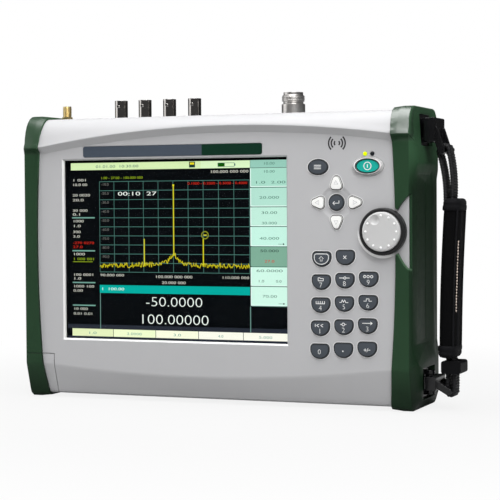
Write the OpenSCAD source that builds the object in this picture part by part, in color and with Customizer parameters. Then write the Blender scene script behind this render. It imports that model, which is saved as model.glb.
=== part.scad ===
// Handheld spectrum analyzer, drawn as separate pieces that fit together.
// Millimetres. X runs to the right, Y runs backward, Z runs up from the feet.
// The origin is the middle of the footprint, strap included, on the floor.
// Depth values count backward from the flat front panel.

/* [Case] */
// Width of the moulded case, inside the bumpers
case_w = 298; // [294:1:304]
// Height of the flat top above the floor
top_z = 208.5; // [207:0.5:212]
// Height of the underside above the floor, taken up by the bumpers' feet
bottom_z = 2.6; // [2.2:0.1:3]
// Depth of the case behind the front panel
case_d = 66; // [65:0.5:70]
// Bevel on the upright rear corners of the case
corner = 7; // [6:0.5:8]
// Depth of the seam between bezel and rear housing
split_d = 17; // [16.5:0.25:18]
// Thickness of the moulded walls
wall = 3; // [2.8:0.1:3.2]

/* [Front face] */
// Radius of the arched crease above the display
arch_r = 887; // [800:10:1000]
// Where the arch is highest, along X
arch_x = 15.7; // [10:0.1:20]
// Height of the crease where it is highest
arch_z = 195.2; // [194:0.1:196]
// Height of the shaded band between crease and visor lip
band_h = 4.8; // [4:0.1:5.5]
// How far the visor lip stands in front of the panel
lip = 4.5; // [3.5:0.1:5]
// Depth at which the visor slope meets the flat top
slope_d = 13; // [11:0.5:14]
// Radius of the curved chin line
chin_r = 1167; // [1000:10:1400]
// Where the chin line is lowest, along X
chin_x = -13.6; // [-20:0.1:-8]
// Height of the chin line where it is lowest
chin_z = 19.1; // [17:0.1:21]
// How far the chin falls back at the bottom
chin_d = 7; // [6:0.5:8]

/* [Display] */
// Width of the display opening
win_w = 177.4; // [172:0.2:179]
// Height of the display opening
win_h = 132.4; // [128:0.2:133]
// Middle of the opening, along X
win_x = -29.4; // [-31:0.1:-28]
// Middle of the opening, height
win_z = 110.8; // [110:0.1:112]
// Thickness of the clear window
glass_t = 1.2; // [1:0.1:1.4]
// Thickness of the gasket behind the window
gasket_t = 1; // [0.8:0.1:1.2]
// Thickness of the display module
lcd_t = 8; // [7:0.5:9]
// Width of the nameplate strip above the display
plate_w = 142.6; // [138:0.2:146]
// Height of the nameplate strip
plate_h = 8.2; // [7.6:0.1:8.4]

/* [Keys] */
// Width of a number key
key_w = 13.5; // [12.5:0.1:13.8]
// Height of a number key
key_h = 10; // [9.6:0.1:10.6]
// How far the keys stand proud of the panel
key_proud = 1.6; // [1.2:0.1:2]
// How far a key goes in
key_travel = 1; // [0.8:0.1:1.2]
// Clearance round each key
key_gap = 0.35; // [0.3:0.05:0.45]
// Length of an arrow key
arrow_l = 9.5; // [9:0.1:10]
// Width of an arrow key
arrow_w = 8.7; // [8.2:0.1:9.2]
// Diameter of the round enter key
enter_dia = 10.9; // [10.4:0.1:11.6]
// Distance of the arrows from the enter key
arrow_pitch = 13.7; // [13.6:0.1:14.4]
// Radius of the shallow dish round the enter key
dish_r = 11.8; // [11:0.2:12.4]
// Depth of that dish
dish_d = 0.9; // [0.6:0.1:1.1]

/* [Knob] */
// Radius of the light knob cap
cap_r = 13.6; // [13:0.1:14.2]
// Radius of the dark skirt
skirt_r = 16.4; // [15.8:0.1:16.8]
// How far the knob stands out
knob_h = 8.5; // [7.5:0.25:10]
// Radius of the encoder shaft
shaft_r = 3; // [2.8:0.1:3.2]

/* [Bumpers] */
// Thickness of rubber on the sides
side_t = 4.6; // [4.2:0.1:5]
// Radius of the bumpers' upright rear corners
corner_r = 12; // [11:0.5:13]
// How far the waist between the end blocks is drawn in
waist = 2.6; // [2:0.1:3]
// Thickness of rubber over the front, top and bottom
rubber = 2.6; // [2.2:0.1:3]
// Radius of the bowed inner edge in front view
bow_r = 1110; // [1000:10:1400]

/* [Battery] */
// Height of the battery door
door_h = 33; // [32:0.5:34]
// Inner edge of the battery door, along X
door_x = -127; // [-128:0.25:-126.5]
// Length of the battery pack
pack_l = 140; // [120:1:150]
// Clearance round the door
door_gap = 0.3; // [0.3:0.05:0.4]

/* [Connectors] */
// Depth of the connector row
conn_d = 30; // [28:0.5:32]
// Height of the threaded RF connector above the case
rf_h = 15.6; // [14:0.2:18]
// Height of the bayonet connectors above the case
bnc_h = 13.6; // [12:0.2:15]
// Height of the small antenna connector above the case
ant_h = 10.6; // [9.5:0.1:12]

/* [Hand strap] */
// Depth of the strap's turning axis
strap_d = 33; // [32:0.5:35]
// Distance of the turning axis from the case's side
strap_off = 5.2; // [5.2:0.1:5.8]
// Thickness of the padded sleeve
pad_t = 13.6; // [13:0.2:14]
// Width of the padded sleeve, front to back
pad_w = 25; // [23:0.5:26]
// Gap for the fingers between the bumper and the middle of the pad
finger_gap = 11.3; // [11:0.1:12]
// Width of the webbing
web_w = 15; // [14:0.5:16]
// Thickness of the webbing
web_t = 2.2; // [2:0.1:2.4]
// Running clearance between the strap's pins and links
pin_gap = 0.3; // [0.3:0.05:0.4]

/* [Tilt bail] */
// Width of the bail
bail_w = 150; // [140:1:160]
// Length of the bail from pivot to foot
bail_l = 92; // [86:1:94]
// Height of the pivot
bail_z = 116; // [112:1:118]
// Thickness of the bail's bar
bail_t = 6; // [5.5:0.1:6.5]

/* [Hidden] */
$fn = 48;
e = 0.02;
half = case_w / 2;
bumper_half = half + side_t;
// Edges of the display opening
win_l = win_x - win_w / 2;
win_r = win_x + win_w / 2;
win_b = win_z - win_h / 2;
win_t = win_z + win_h / 2;
// The widest point of the strap and the middle of the footprint
pad_in = bumper_half + finger_gap;
strap_out = pad_in + pad_t + 1.6;
origin_x = -(strap_out - bumper_half) / 2;
front_y = -(case_d + rubber - knob_h) / 2;
arch_half = 134.5;
// Depths behind the front panel
glass_d = wall;
gasket_d = glass_d + glass_t;
lcd_d = gasket_d + gasket_t;
flange_d = wall + 0.3;
flange_t = 1;
stem_d = flange_d + flange_t + 2;
board_d = stem_d + key_travel + 0.3;
board_t = 1.6;
main_d = lcd_d + lcd_t + 4;
back_in = case_d - wall;
panel_d = split_d + 2;
panel_b = case_d - 12;
// Key places on the panel
key_o = [win_r + 24.73, 40.5];
col_step = [17.35, 1.15];
row_step = [0.43, 16.17];
arrow_c = [win_r + 37.5, 144.6];
arrow_r = 2.6;
menu_c = [win_r + 24, 169.4];
power_c = [119.8, 169.6];
knob_c = [131.3, 124.4];
led_c = [[117.7, 178.1], [122.9, 178.1]];
plate_c = [win_x - 0.6, win_t + 6.05];
// Connectors along X
ant_x = -130.4;
bnc_xs = [-84.3, -64.5, -44.3, -23.9];
rf_x = 54;
// Case screws as seen from the front
screws = [[-127.5, 189], [127, 195], [-128, 44], [127, 16], [42, 14], [92, 195]];
// Strap anchors
rib_d = strap_d + 3;
pin_x = half + strap_off;
up_z = 194.7;
low_z = 18;
pin_r = 1.6;
link_r = 3.2;
ear_r = 3.8;
bar_r = 1.8;
arm_d = web_w / 2 + 1.7;
loop_in = bar_r + 0.3;
loop_out = loop_in + web_t;
up_bar = [pin_x + 11.4, 180];
low_bar = [pin_x + 16, 12.5];
up_foot = [pad_in + 0.5 * pad_t + 1.2, 143];
low_foot = [pad_in + 0.5 * pad_t - 0.9, 37];
bail_r = 2;
bail_d = case_d - 3.6;
fan_c = [-92, 161];
fan_s = 50;
speaker_c = [100, 150];

// Outlines

function arc_pts(cx, cy, r, a0, a1, n) =
    [for (i = [0:n]) let (a = a0 + (a1 - a0) * i / n) [cx + r * cos(a), cy + r * sin(a)]];

function oval(w, h, n = 40) =
    [for (i = [0:n - 1]) [w / 2 * cos(360 * i / n), h / 2 * sin(360 * i / n)]];

function rrect(w, h, r) = concat(
    arc_pts(w / 2 - r, h / 2 - r, r, 0, 90, 5),
    arc_pts(-w / 2 + r, h / 2 - r, r, 90, 180, 5),
    arc_pts(-w / 2 + r, -h / 2 + r, r, 180, 270, 5),
    arc_pts(w / 2 - r, -h / 2 + r, r, 270, 360, 5));

// Number key: nearly flat top, half-oval bottom
function shield(w, h) =
    let (a = w / 2, b = 0.62 * h, y0 = -h / 2 + b, r = 0.25 * h)
    concat(
        [for (i = [0:14]) let (t = 180 + 180 * i / 14) [a * cos(t), y0 + b * sin(t)]],
        arc_pts(a - r, h / 2 - r, r, 0, 90, 4),
        arc_pts(-a + r, h / 2 - r, r, 90, 180, 4));

// Arrow key that points up
function arrow(w, l, r) =
    let (b = atan2(w / 2 - r, l - 2 * r))
    concat(
        arc_pts(0, l / 2 - r, r, b, 180 - b, 7),
        arc_pts(-w / 2 + r, -l / 2 + r, r, 180 - b, 270, 6),
        arc_pts(w / 2 - r, -l / 2 + r, r, 270, 360 + b, 6));

function quad(p, c, q, n) =
    [for (i = [0:n]) let (t = i / n) (1 - t) * (1 - t) * p + 2 * t * (1 - t) * c + t * t * q];

// Side profile of the case at a place along X, as depth and height

function clampx(x) = max(-arch_half, min(arch_half, x));
function crease_z(x) =
    arch_z - arch_r + sqrt(arch_r * arch_r - pow(clampx(x) - arch_x, 2));
function chin_at(x) =
    chin_z + chin_r - sqrt(chin_r * chin_r - pow(clampx(x) - chin_x, 2));

// The visor lip falls back towards the ends, under the bumpers
function lip_at(x) = lip * (1 - 0.8 * max(0, (abs(x) - arch_half) / (half - arch_half)));

function face_profile(x) =
    let (c = crease_z(x), l = c + band_h, h = chin_at(x), v = lip_at(x))
    concat(
        quad([slope_d, top_z], [2.2, top_z], [-v + 1, l + 2], 7),
        [[-v + 0.25, l + 0.9], [-v, l], [-v + 0.6, l - 0.8],
         [0, c], [0, h + 1.2], [0.15, h - 0.2], [0.65, h - 2],
         [chin_d - 1.4, bottom_z + 4], [chin_d - 0.2, bottom_z + 1.2],
         [chin_d + 1.6, bottom_z]]);

function bezel_profile(x) =
    concat([[split_d, top_z]], face_profile(x), [[split_d, bottom_z]]);

function back_edge() =
    concat(
        arc_pts(case_d - 6, bottom_z + 6, 6, 270, 360, 5),
        arc_pts(case_d - 6, top_z - 6, 6, 0, 90, 5));

function side_profile(x) = concat(face_profile(x), back_edge());

function unit(v) = v / norm(v);
function grow(p, o) =
    let (n = len(p))
    [for (i = [0:n - 1])
        let (a = unit(p[i] - p[(i + n - 1) % n]), b = unit(p[(i + 1) % n] - p[i]),
             na = [a[1], -a[0]], nb = [b[1], -b[0]])
        p[i] + o * (na + nb) / (1 + na * nb)];

function pulled(p, s) =
    let (c = [case_d / 2, top_z / 2])
    [for (q = p) [c[0] + (q[0] - c[0]) * (1 - s / c[0]), c[1] + (q[1] - c[1]) * (1 - s / c[1])]];

// Solids from outlines

module place() {
    translate([origin_x, 0, 0]) children();
}

// Front-view outline drawn between two depths
module slab(d0, d1) {
    translate([0, front_y + d1, 0]) rotate([90, 0, 0])
        linear_extrude(height = d1 - d0) children();
}

// Side-view outline drawn between two places along X
module prism(x0, x1) {
    translate([x0, front_y, 0]) rotate([90, 0, 90])
        linear_extrude(height = x1 - x0) children();
}

// Plan outline, along X and depth, drawn between two heights
module plan(z0, z1) {
    translate([0, front_y, z0]) linear_extrude(height = z1 - z0) children();
}

module box(x0, x1, d0, d1, z0, z1) {
    translate([x0, front_y + d0, z0]) cube([x1 - x0, d1 - d0, z1 - z0]);
}

// Round bar along the depth, placed in front view
module post(c, r, d0, d1) {
    translate([c[0], front_y + d1, c[1]]) rotate([90, 0, 0]) cylinder(h = d1 - d0, r = r);
}

// Upright round bar
module pillar(x, d, r, z0, z1) {
    translate([x, front_y + d, z0]) cylinder(h = z1 - z0, r = r);
}

// Skin through closed rings of equal point counts, each counter-clockwise from the far end
module skin(rings) {
    m = len(rings);
    n = len(rings[0]);
    pts = [for (r = rings) for (p = r) p];
    sides = [for (i = [0:m - 2]) for (j = [0:n - 1]) for (k = [0:1])
        let (a = i * n + j, b = i * n + (j + 1) % n, c = a + n, d = b + n)
        k == 0 ? [a, d, b] : [a, c, d]];
    first = [for (j = [0:n - 1]) j];
    last = [for (j = [0:n - 1]) m * n - 1 - j];
    polyhedron(points = pts, faces = concat([first], sides, [last]), convexity = 6);
}

function ring_x(x, p) = [for (q = p) [x, front_y + q[0], q[1]]];

// Case

module bezel_outer() {
    xs = concat([-half], [for (i = [0:16]) -arch_half + 2 * arch_half * i / 16], [half]);
    skin([for (x = xs) ring_x(x, bezel_profile(x))]);
}

module rear_outer() {
    difference() {
        prism(-half, half)
            polygon(concat([[split_d, top_z], [split_d, bottom_z]], back_edge()));
        rear_bevels();
    }
}

// Wedges that bevel the upright rear corners
module rear_bevels() {
    for (s = [-1, 1]) plan(-5, top_z + 5)
        polygon([[s * (half - corner), case_d], [s * (half + e), case_d - corner - e],
            [s * (half + 5), case_d + 5]]);
}

// Hollow of the rear half, with the same bevel inside
module hollow(x0, x1, d0, z0, z1) {
    c = corner - 1.7;
    plan(z0, z1) polygon([[x0, d0], [x1, d0], [x1, min(back_in, back_in - c + max(0, half - wall - x1))],
        [min(x1, half - wall - c), back_in], [max(x0, wall + c - half), back_in],
        [x0, min(back_in, back_in - c + max(0, x0 + half - wall))]]);
}

// Corner that the battery door takes up
module door_zone(g) {
    box(-bumper_half - 9, door_x + g, -20, case_d + 20, -5, door_h + g);
}

module key_holes() {
    slab(-9, wall + 1) {
        for (k = pad_keys()) translate(k) polygon(shield(key_w + 2 * key_gap, key_h + 2 * key_gap));
        for (a = [0:3]) translate(arrow_c) rotate(90 * a) translate([0, arrow_pitch])
            polygon(arrow(arrow_w + 2 * key_gap, arrow_l + 2 * key_gap, arrow_r + key_gap));
        translate(arrow_c) circle(d = enter_dia + 2 * key_gap);
        translate(menu_c) polygon(oval(14.5 + 2 * key_gap, 10.3 + 2 * key_gap));
        translate(power_c) polygon(oval(19.6, 11.6));
        for (c = led_c) translate(c) circle(r = 1.5);
    }
}

function key_at(c, r) = key_o + c * col_step + r * row_step;
function pad_keys() = concat(
    [for (r = [0:3]) for (c = [0:2]) key_at(c, r)], [key_at(0, 4), key_at(1, 4)]);

module window_cut() {
    w = win_w / 2;
    h = win_h / 2;
    translate([win_x, front_y, win_z]) skin([
        for (s = [[1.4, -0.4], [0.3, 0.8], [0, 1.2], [0, wall + 1]])
            [[-w - s[0], s[1], -h - s[0]], [-w - s[0], s[1], h + s[0]],
             [w + s[0], s[1], h + s[0]], [w + s[0], s[1], -h - s[0]]]]);
}

module front_bezel() {
    color("silver") difference() {
        union() {
            difference() {
                bezel_outer();
                box(-half + wall, half - wall, wall, split_d + 1, door_h, 183);
                box(-half + wall, half - wall, slope_d + 1, split_d + 1, 182, top_z - wall);
                box(door_x + wall, half - wall, chin_d + 4, split_d + 1, bottom_z + wall, door_h + 1);
                // Pocket of the window, its gasket and the display module
                box(win_l - 4.6, win_r + 4.6, wall, split_d + 1, win_b - 4.6, win_t + 4.6);
                door_zone(0);
            }
            // Walls round the battery door's corner
            box(-half, door_x + wall, wall - 1, split_d, door_h, door_h + wall);
            box(door_x, door_x + wall, chin_d + 3, split_d, bottom_z + wall - 1, door_h + 1);
            // Posts for the boards and for the case screws
            for (c = board_posts()) post(c, 2.6, wall - 1, board_d);
            for (c = main_posts()) post(c, 2.4, wall - 1, main_d);
            for (c = screws) post(c, 4, c[1] < door_h ? chin_d + 3.5 : wall - 1, back_in);
            // Rail that the battery door's front wall rides on
            box(door_x - 2.6, door_x + 1, chin_d + 4.7 + door_gap, chin_d + 7.4,
                bottom_z + wall + 0.5, door_h + 1);
        }
        for (c = screws) post(c, 1.6, 30, case_d);
        key_holes();
        window_cut();
        slab(-1, 0.8) translate(plate_c) polygon(rrect(plate_w, plate_h, 1.6));
        slab(-1, 0.9) translate(power_c) polygon(oval(22.9, 13.6));
        enter_dish();
        post(knob_c, 4.9, -9, wall + 1);
        box(door_x - 1, door_x + wall + 1, 15.6, split_d + 1, bottom_z + wall, door_h - 1.5);
    }
}

module enter_dish() {
    r = (dish_r * dish_r + dish_d * dish_d) / (2 * dish_d);
    translate([arrow_c[0], front_y + dish_d - r, arrow_c[1]]) intersection() {
        sphere(r = r, $fn = 240);
        rotate([-90, 0, 0]) cylinder(h = r + 1, r = dish_r + 2);
    }
}

function board_posts() =
    let (a = win_r + 12.2, b = half - 6.5) [[a, 35.5], [b, 35.5], [a, 180], [b, 178.5], [b, 90]];
function main_posts() =
    let (a = win_l - 6.9, b = win_r + 6.9) [[b, win_b + 5.4], [b, win_t - 1], [a, win_b + 17.4], [a, win_t - 7]];

module rear_housing() {
    color("dimgray") difference() {
        union() {
            difference() {
                rear_outer();
                hollow(-half + wall, half - wall, split_d - 1, door_h, top_z - wall);
                hollow(door_x + wall, half - wall, split_d - 1, bottom_z + wall, door_h + 1);
                door_zone(0);
            }
            intersection() {
                box(-half, door_x + wall, split_d, back_in + 1, door_h, door_h + wall);
                rear_outer();
            }
            box(door_x, door_x + wall, split_d, back_in + 1, bottom_z + wall - 1, door_h + 1);
            // Rail that the battery door's back wall rides on
            box(door_x - 2.6, door_x + 1, back_in - 3.4, back_in - door_gap - 0.2, bottom_z + wall + 0.5, door_h + 1);
            // Backing for the bail's recess
            slab(case_d - 11, back_in + 1) difference() {
                bail_outline(5);
                bail_inner(5);
            }
        }
        slab(case_d - 8, case_d + 1) difference() {
            bail_outline(1.6);
            bail_inner(1.6);
        }
        bracket_seats();
        box(door_x - 1, door_x + wall + 1, split_d - 1, back_in - 4, bottom_z + wall, door_h - 1.5);
        for (c = screws) post(c, 2, back_in - 2, case_d + 1);
        for (c = screws) post(c, 3.6, case_d - 2, case_d + 1);
        for (c = screws) post(c, 4.2, split_d - 1, back_in);
        box(ant_x - 9.3, 126.3, panel_d - 0.3, panel_b + 0.3, top_z - 2, top_z + 1);
        box(ant_x - 6.5, 123.5, panel_d + 1.4, panel_b - 3, top_z - wall - 1, top_z);
        // Fan vents and speaker holes
        for (i = [-4:4]) box(fan_c[0] + i * 5 - 1.2, fan_c[0] + i * 5 + 1.2, back_in - 1, case_d + 1,
            fan_c[1] - 20, fan_c[1] + 20);
        for (i = [-2:2]) for (k = [-2:2]) if (abs(i) + abs(k) < 4)
            post(speaker_c + 4 * [i, k], 1.1, back_in - 1, case_d + 1);
    }
}

module bail_outline(g) {
    polygon([[-bail_w / 2 - g, bail_z - bail_l - g], [bail_w / 2 + g, bail_z - bail_l - g],
        [bail_w / 2 + g, bail_z + 5 + g], [-bail_w / 2 - g, bail_z + 5 + g]]);
}

module bail_inner(g) {
    w = bail_w / 2 - 9 - g;
    translate([-w, bail_z - bail_l + 9 + g]) square([2 * w, bail_l + 20]);
}

// Room for the brackets inside the bail's legs
module bracket_seats() {
    for (s = [-1, 1]) box(s * (bail_w / 2 - 14.8) - 5, s * (bail_w / 2 - 14.8) + 5,
        case_d - 8, case_d + 1, bail_z - 7, bail_z + 6.6);
}

module connector_panel() {
    color("slategray") difference() {
        box(ant_x - 9, 126, panel_d, panel_b, top_z - 2, top_z);
        pillar(ant_x, conn_d, 3.3, top_z - 9, top_z + 9);
        for (x = bnc_xs) pillar(x, conn_d, 5, top_z - 9, top_z + 9);
        pillar(rf_x, conn_d, 8.1, top_z - 9, top_z + 9);
    }
}

// Bumpers

module bumper_body(s) {
    steps = [[-20, 0.9], [-13, 0.2], [-11.4, 0], [-4.4, 0], [-3.8, 0.4], [0, 7.7]];
    xs = [for (t = steps) bumper_half + t[0]];
    rings = [for (i = [0:len(steps) - 1])
        ring_x(s * xs[i], pulled(grow(side_profile(s * min(xs[i], half)), rubber), steps[i][1]))];
    order = s > 0 ? [0:len(steps) - 1] : [len(steps) - 1:-1:0];
    skin([for (i = order) rings[i]]);
}

// Upright grip rib along the side, lowest at mid height
function rib_ring(s, z, out) =
    let (x = bumper_half - 0.2 - out, i = half + 0.5,
         p = [[i, rib_d - 2], [half + 1.6, rib_d], [x - 1.1, rib_d + 8], [x - 0.3, rib_d + 11],
              [x, rib_d + 14], [x - 0.5, rib_d + 17], [half + 1.8, rib_d + 24], [i, rib_d + 24]],
         n = len(p))
    [for (k = [0:n - 1]) let (q = p[s > 0 ? k : n - 1 - k]) [s * q[0], front_y + q[1], z]];

module grip_rib(s) {
    skin([for (t = [[33, 0.3], [50, 0.4], [72, 0.75], [92, 0.95], [110, 1], [125, 0.95], [140, 0.75],
        [156, 0.4], [171, 0.3]]) rib_ring(s, t[0], t[1])]);
}

// Cutter for the rounded upright rear corner
module bumper_corner(s) {
    x = bumper_half - corner_r;
    d = case_d + rubber - corner_r;
    plan(-5, top_z + 15) scale([s, 1]) difference() {
        translate([x, d]) square(corner_r + 5);
        translate([x, d]) circle(r = corner_r, $fn = 72);
    }
}

module bumper(s) {
    w = bumper_half - waist;
    difference() {
        union() {
            difference() {
                bumper_body(s);
                bumper_corner(s);
                // Waist between the end blocks, and the finger groove in front of the rib
                slab(-20, case_d + 20) scale([s, 1])
                    polygon([[w, 46], [bumper_half + 0.2, 32], [bumper_half + 9, 26],
                        [bumper_half + 9, 178], [bumper_half + 0.2, 171], [w, 161]]);
                slab(14, rib_d + 12) scale([s, 1])
                    polygon([[w - 0.7, 50], [w + 0.6, 43], [w + 9, 37],
                        [w + 9, 168], [w + 0.6, 164], [w - 0.7, 158]]);
                // Lean of the side towards the top
                slab(-20, case_d + 20) scale([s, 1])
                    polygon([[bumper_half, 172], [bumper_half - 3.4, top_z + rubber + 1],
                        [bumper_half + 9, top_z + rubber + 1], [bumper_half + 9, 172]]);
            }
            grip_rib(s);
        }
        bezel_outer();
        rear_outer();
        // Bowed inner edge, front and back
        translate([s * (half - 9.1 - bow_r), front_y + case_d + 20, 115]) rotate([90, 0, 0])
            cylinder(h = case_d + 50, r = bow_r, $fn = 200);
    }
}

module left_bumper() {
    color("darkgreen") difference() {
        bumper(-1);
        door_zone(0);
    }
}

module right_bumper() {
    color("darkgreen") difference() {
        bumper(1);
        // Cut-out round the knob
        slab(-20, 0.6) polygon(concat(
            quad([half - 9, 136.5], [half - 3.5, 147], [half + 3, 151], 8),
            [[half + 20, 160], [half + 20, 88]],
            quad([half + 3, 96.8], [half - 3, 100], [half - 8, 110.8], 8),
            [[130, 110.8], [130, 136.5]]));
        post(knob_c, skirt_r + 1.6, -20, 0.6);
        // Pockets for the strap's lugs
        for (z = [up_z, low_z])
            translate([0, front_y, z - 11]) linear_extrude(height = 22)
                polygon([[half, strap_d - 12], [half + 18, strap_d - 24],
                    [half + 18, strap_d + 24], [half, strap_d + 12]]);
    }
}

// Battery

module battery_pack() {
    color("black") difference() {
        box(door_x + 1, door_x + 1 + pack_l, split_d + 1.5, case_d - 11.4, bottom_z + wall, door_h - 2.5);
        // Finger scoop at the end that faces the door
        pillar(door_x + 1, (split_d + back_in) / 2, 9, door_h - 9, door_h);
    }
}

module battery_door() {
    g = door_gap;
    color("silver") difference() {
        union() {
            intersection() {
                bezel_outer();
                box(-half, door_x - g, -20, split_d, -5, door_h - g);
            }
            intersection() {
                rear_outer();
                box(-half, door_x - g, split_d, case_d + 9, -5, door_h - g);
            }
        }
        hollow(-half + wall, door_x + 9, chin_d + 4.7, bottom_z + wall, door_h + 9);
    }
}

module battery_door_bumper() {
    color("darkgreen") intersection() {
        bumper(-1);
        box(-bumper_half - 9, door_x - door_gap, -20, case_d + 20, -5, door_h - door_gap);
    }
}

// Display and trim

module nameplate() {
    color("darkslategray") slab(-0.3, 0.8) translate(plate_c)
        polygon(rrect(plate_w - 0.3, plate_h - 0.3, 1.5));
}

module display_window() {
    color("gray") slab(glass_d, glass_d + glass_t) translate([win_x, win_z])
        square([win_w + 6, win_h + 6], center = true);
}

module display_gasket() {
    color("black") slab(gasket_d, gasket_d + gasket_t) translate([win_x, win_z]) difference() {
        square([win_w + 6, win_h + 6], center = true);
        square([win_w, win_h], center = true);
    }
}

module lcd_module() {
    color("black") slab(lcd_d, lcd_d + lcd_t) translate([win_x, win_z])
        square([win_w + 8, win_h + 7.5], center = true);
}

module power_ring() {
    color("silver") difference() {
        union() {
            slab(-1.5, 0.9) translate(power_c) polygon(oval(22.6, 13.3));
            slab(-2, 0) translate(power_c) polygon(oval(21.4, 12.1));
            slab(0, wall + 0.1) translate(power_c) polygon(oval(19.4, 11.4));
        }
        slab(-3, wall + 1) translate(power_c) polygon(oval(17 + 2 * key_gap, 9.6 + 2 * key_gap, 48));
    }
}

module indicator_leds() {
    color("yellow") for (c = led_c) {
        intersection() {
            post(c, 1.4, -1, wall);
            translate([c[0], front_y + 1, c[1]]) sphere(r = 2);
        }
        post(c, 1.4, 1, board_d);
    }
}

// Knob and encoder

module knob_cap() {
    color("silver") translate([knob_c[0], front_y, knob_c[1]]) rotate([90, 0, 0]) difference() {
        union() {
            rotate_extrude() polygon([[0, 2.6], [cap_r, 2.6], [cap_r, knob_h - 1.3],
                [cap_r - 0.7, knob_h - 0.7], [cap_r - 1.7, knob_h - 0.5], [0, knob_h - 0.5]]);
            // Raised dots at the clock positions
            for (a = [150:30:450]) rotate(a) translate([cap_r - 2.6, 0, knob_h - 1.05])
                sphere(r = 1.05, $fn = 16);
        }
        translate([0, 0, 2]) cylinder(h = knob_h - 4, r = shaft_r);
        // Finger dimple
        rotate(120) translate([9.4, 0, knob_h + 2.4]) sphere(r = 4.6);
    }
}

module knob_skirt() {
    color("black") translate([knob_c[0], front_y, knob_c[1]]) rotate([90, 0, 0]) rotate_extrude()
        polygon([[shaft_r, 0.5], [skirt_r, 0.5], [skirt_r, 5.3], [skirt_r - 0.9, 6.2], [cap_r + 0.4, 6.2],
            [cap_r + 0.4, 2.6], [shaft_r, 2.6]]);
}

module encoder_shaft() {
    color("silver") post(knob_c, shaft_r, -knob_h + 2, board_d + board_t + 4);
}

module encoder_body() {
    d1 = board_d + board_t;
    color("gray") difference() {
        union() {
            box(knob_c[0] - 6.5, knob_c[0] + 6.5, d1, d1 + 6.5, knob_c[1] - 6.5, knob_c[1] + 6.5);
            post(knob_c, 4.6, 1, d1 + 1);
        }
        post(knob_c, shaft_r + 0.3, 0, d1 + 4.4);
    }
}

// Electronics

module keypad_board() {
    color("green") difference() {
        box(win_r + 9.9, half - wall - 0.4, board_d, board_d + board_t, door_h + 0.5, 182.6);
        post(knob_c, 4.6, 0, 30);
        for (c = screws) post(c, 4.4, 0, 30);
    }
}

module main_board() {
    color("green") difference() {
        box(win_l - 11.9, win_r + 9.3, main_d, main_d + board_t, win_b + 4.4, win_t + 4);
        post([win_x + 3.4, win_b + 15.4], 8, 0, case_d);
    }
}

module rf_module() {
    color("silver") box(win_l + 20.1, win_r + 6.7, main_d + board_t, main_d + 22, top_z - 76.5, top_z - 12.5);
}

module speaker() {
    color("black") difference() {
        post(speaker_c, 14, back_in - 7, back_in);
        post(speaker_c, 11.5, back_in - 1.6, back_in + 1);
    }
}

module fan_frame() {
    h = fan_s / 2;
    color("black") difference() {
        box(fan_c[0] - h, fan_c[0] + h, back_in - 15, back_in, fan_c[1] - h, fan_c[1] + h);
        post(fan_c, h - 1.6, back_in - 12, back_in + 1);
        for (a = [45:90:315]) translate([fan_c[0], 0, fan_c[1]]) rotate([0, a, 0])
            translate([14, front_y + back_in - 20, -6]) cube([6, 12, 12]);
    }
    color("black") post(fan_c, 1.2, back_in - 12.5, back_in - 4);
}

module fan_rotor() {
    color("black") translate([fan_c[0], front_y + back_in - 1.5, fan_c[1]]) rotate([90, 0, 0]) {
        difference() {
            cylinder(h = 10, r = 9);
            translate([0, 0, 2]) cylinder(h = 9, r = 1.5);
        }
        for (a = [0:6]) rotate(a * 360 / 7) translate([8.4, 0, 5]) rotate([38, 0, 0])
            translate([0, -6, -0.6]) cube([13.6, 12, 1.2]);
    }
}

module case_screws() {
    color("silver") for (c = screws) {
        difference() {
            post(c, 3.3, case_d - 2, case_d - 0.4);
            box(c[0] - 2.4, c[0] + 2.4, case_d - 1.5, case_d, c[1] - 0.5, c[1] + 0.5);
            box(c[0] - 0.5, c[0] + 0.5, case_d - 1.5, case_d, c[1] - 2.4, c[1] + 2.4);
        }
        post(c, 1.6, case_d - 23, case_d - 2 + e);
    }
}

// Connectors

module antenna_connector() {
    color("gold") translate([ant_x, front_y + conn_d, top_z]) {
        difference() {
            union() {
                translate([0, 0, -9]) cylinder(h = 9 + ant_h, r = 3.1);
                cylinder(h = 2.4, r = 4.6, $fn = 6);
            }
            translate([0, 0, ant_h - 6]) cylinder(h = 7, r = 2.2);
        }
        translate([0, 0, ant_h - 6.5]) cylinder(h = 5.5, r = 0.6);
    }
}

module bnc_connectors() {
    color("silver") for (x = bnc_xs) translate([x, front_y + conn_d, top_z]) {
        difference() {
            union() {
                translate([0, 0, -9.5]) cylinder(h = 9.5 + bnc_h, r = 4.85);
                translate([0, 6, bnc_h - 4.4]) rotate([90, 0, 0]) cylinder(h = 12, r = 1);
            }
            translate([0, 0, bnc_h - 8]) difference() {
                cylinder(h = 9, r = 4.1);
                translate([0, 0, -1]) cylinder(h = 7.6, r = 2.5);
            }
            translate([0, 0, bnc_h - 4]) cylinder(h = 5, r = 0.7);
        }
    }
}

module rf_connector() {
    color("silver") translate([rf_x, front_y + conn_d, top_z - 9.5]) rotate_extrude()
        polygon([[0, 0], [7.95, 0], [7.95, 9.5], [8.5, 9.5], [8.5, rf_h + 0.9], [7.2, rf_h + 1.5],
            [7.2, rf_h + 2.4], [7.95, rf_h + 3], [7.95, rf_h + 7], [7.1, rf_h + 7.6],
            [7.1, rf_h + 9.5], [6.2, rf_h + 9.5], [6.2, rf_h + 1], [1.6, rf_h + 1],
            [1.6, rf_h + 7], [0.8, rf_h + 7], [0.8, rf_h + 2], [0, rf_h + 2]]);
}

module nut(x, r, af) {
    translate([x, front_y + conn_d, top_z - 5]) difference() {
        cylinder(h = 3, r = af / 2 / cos(30), $fn = 6);
        translate([0, 0, -1]) cylinder(h = 5, r = r);
    }
}

module connector_nuts() {
    color("silver") {
        nut(ant_x, 3.1, 8);
        for (x = bnc_xs) nut(x, 4.85, 14);
        nut(rf_x, 7.95, 19);
    }
}

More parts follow.
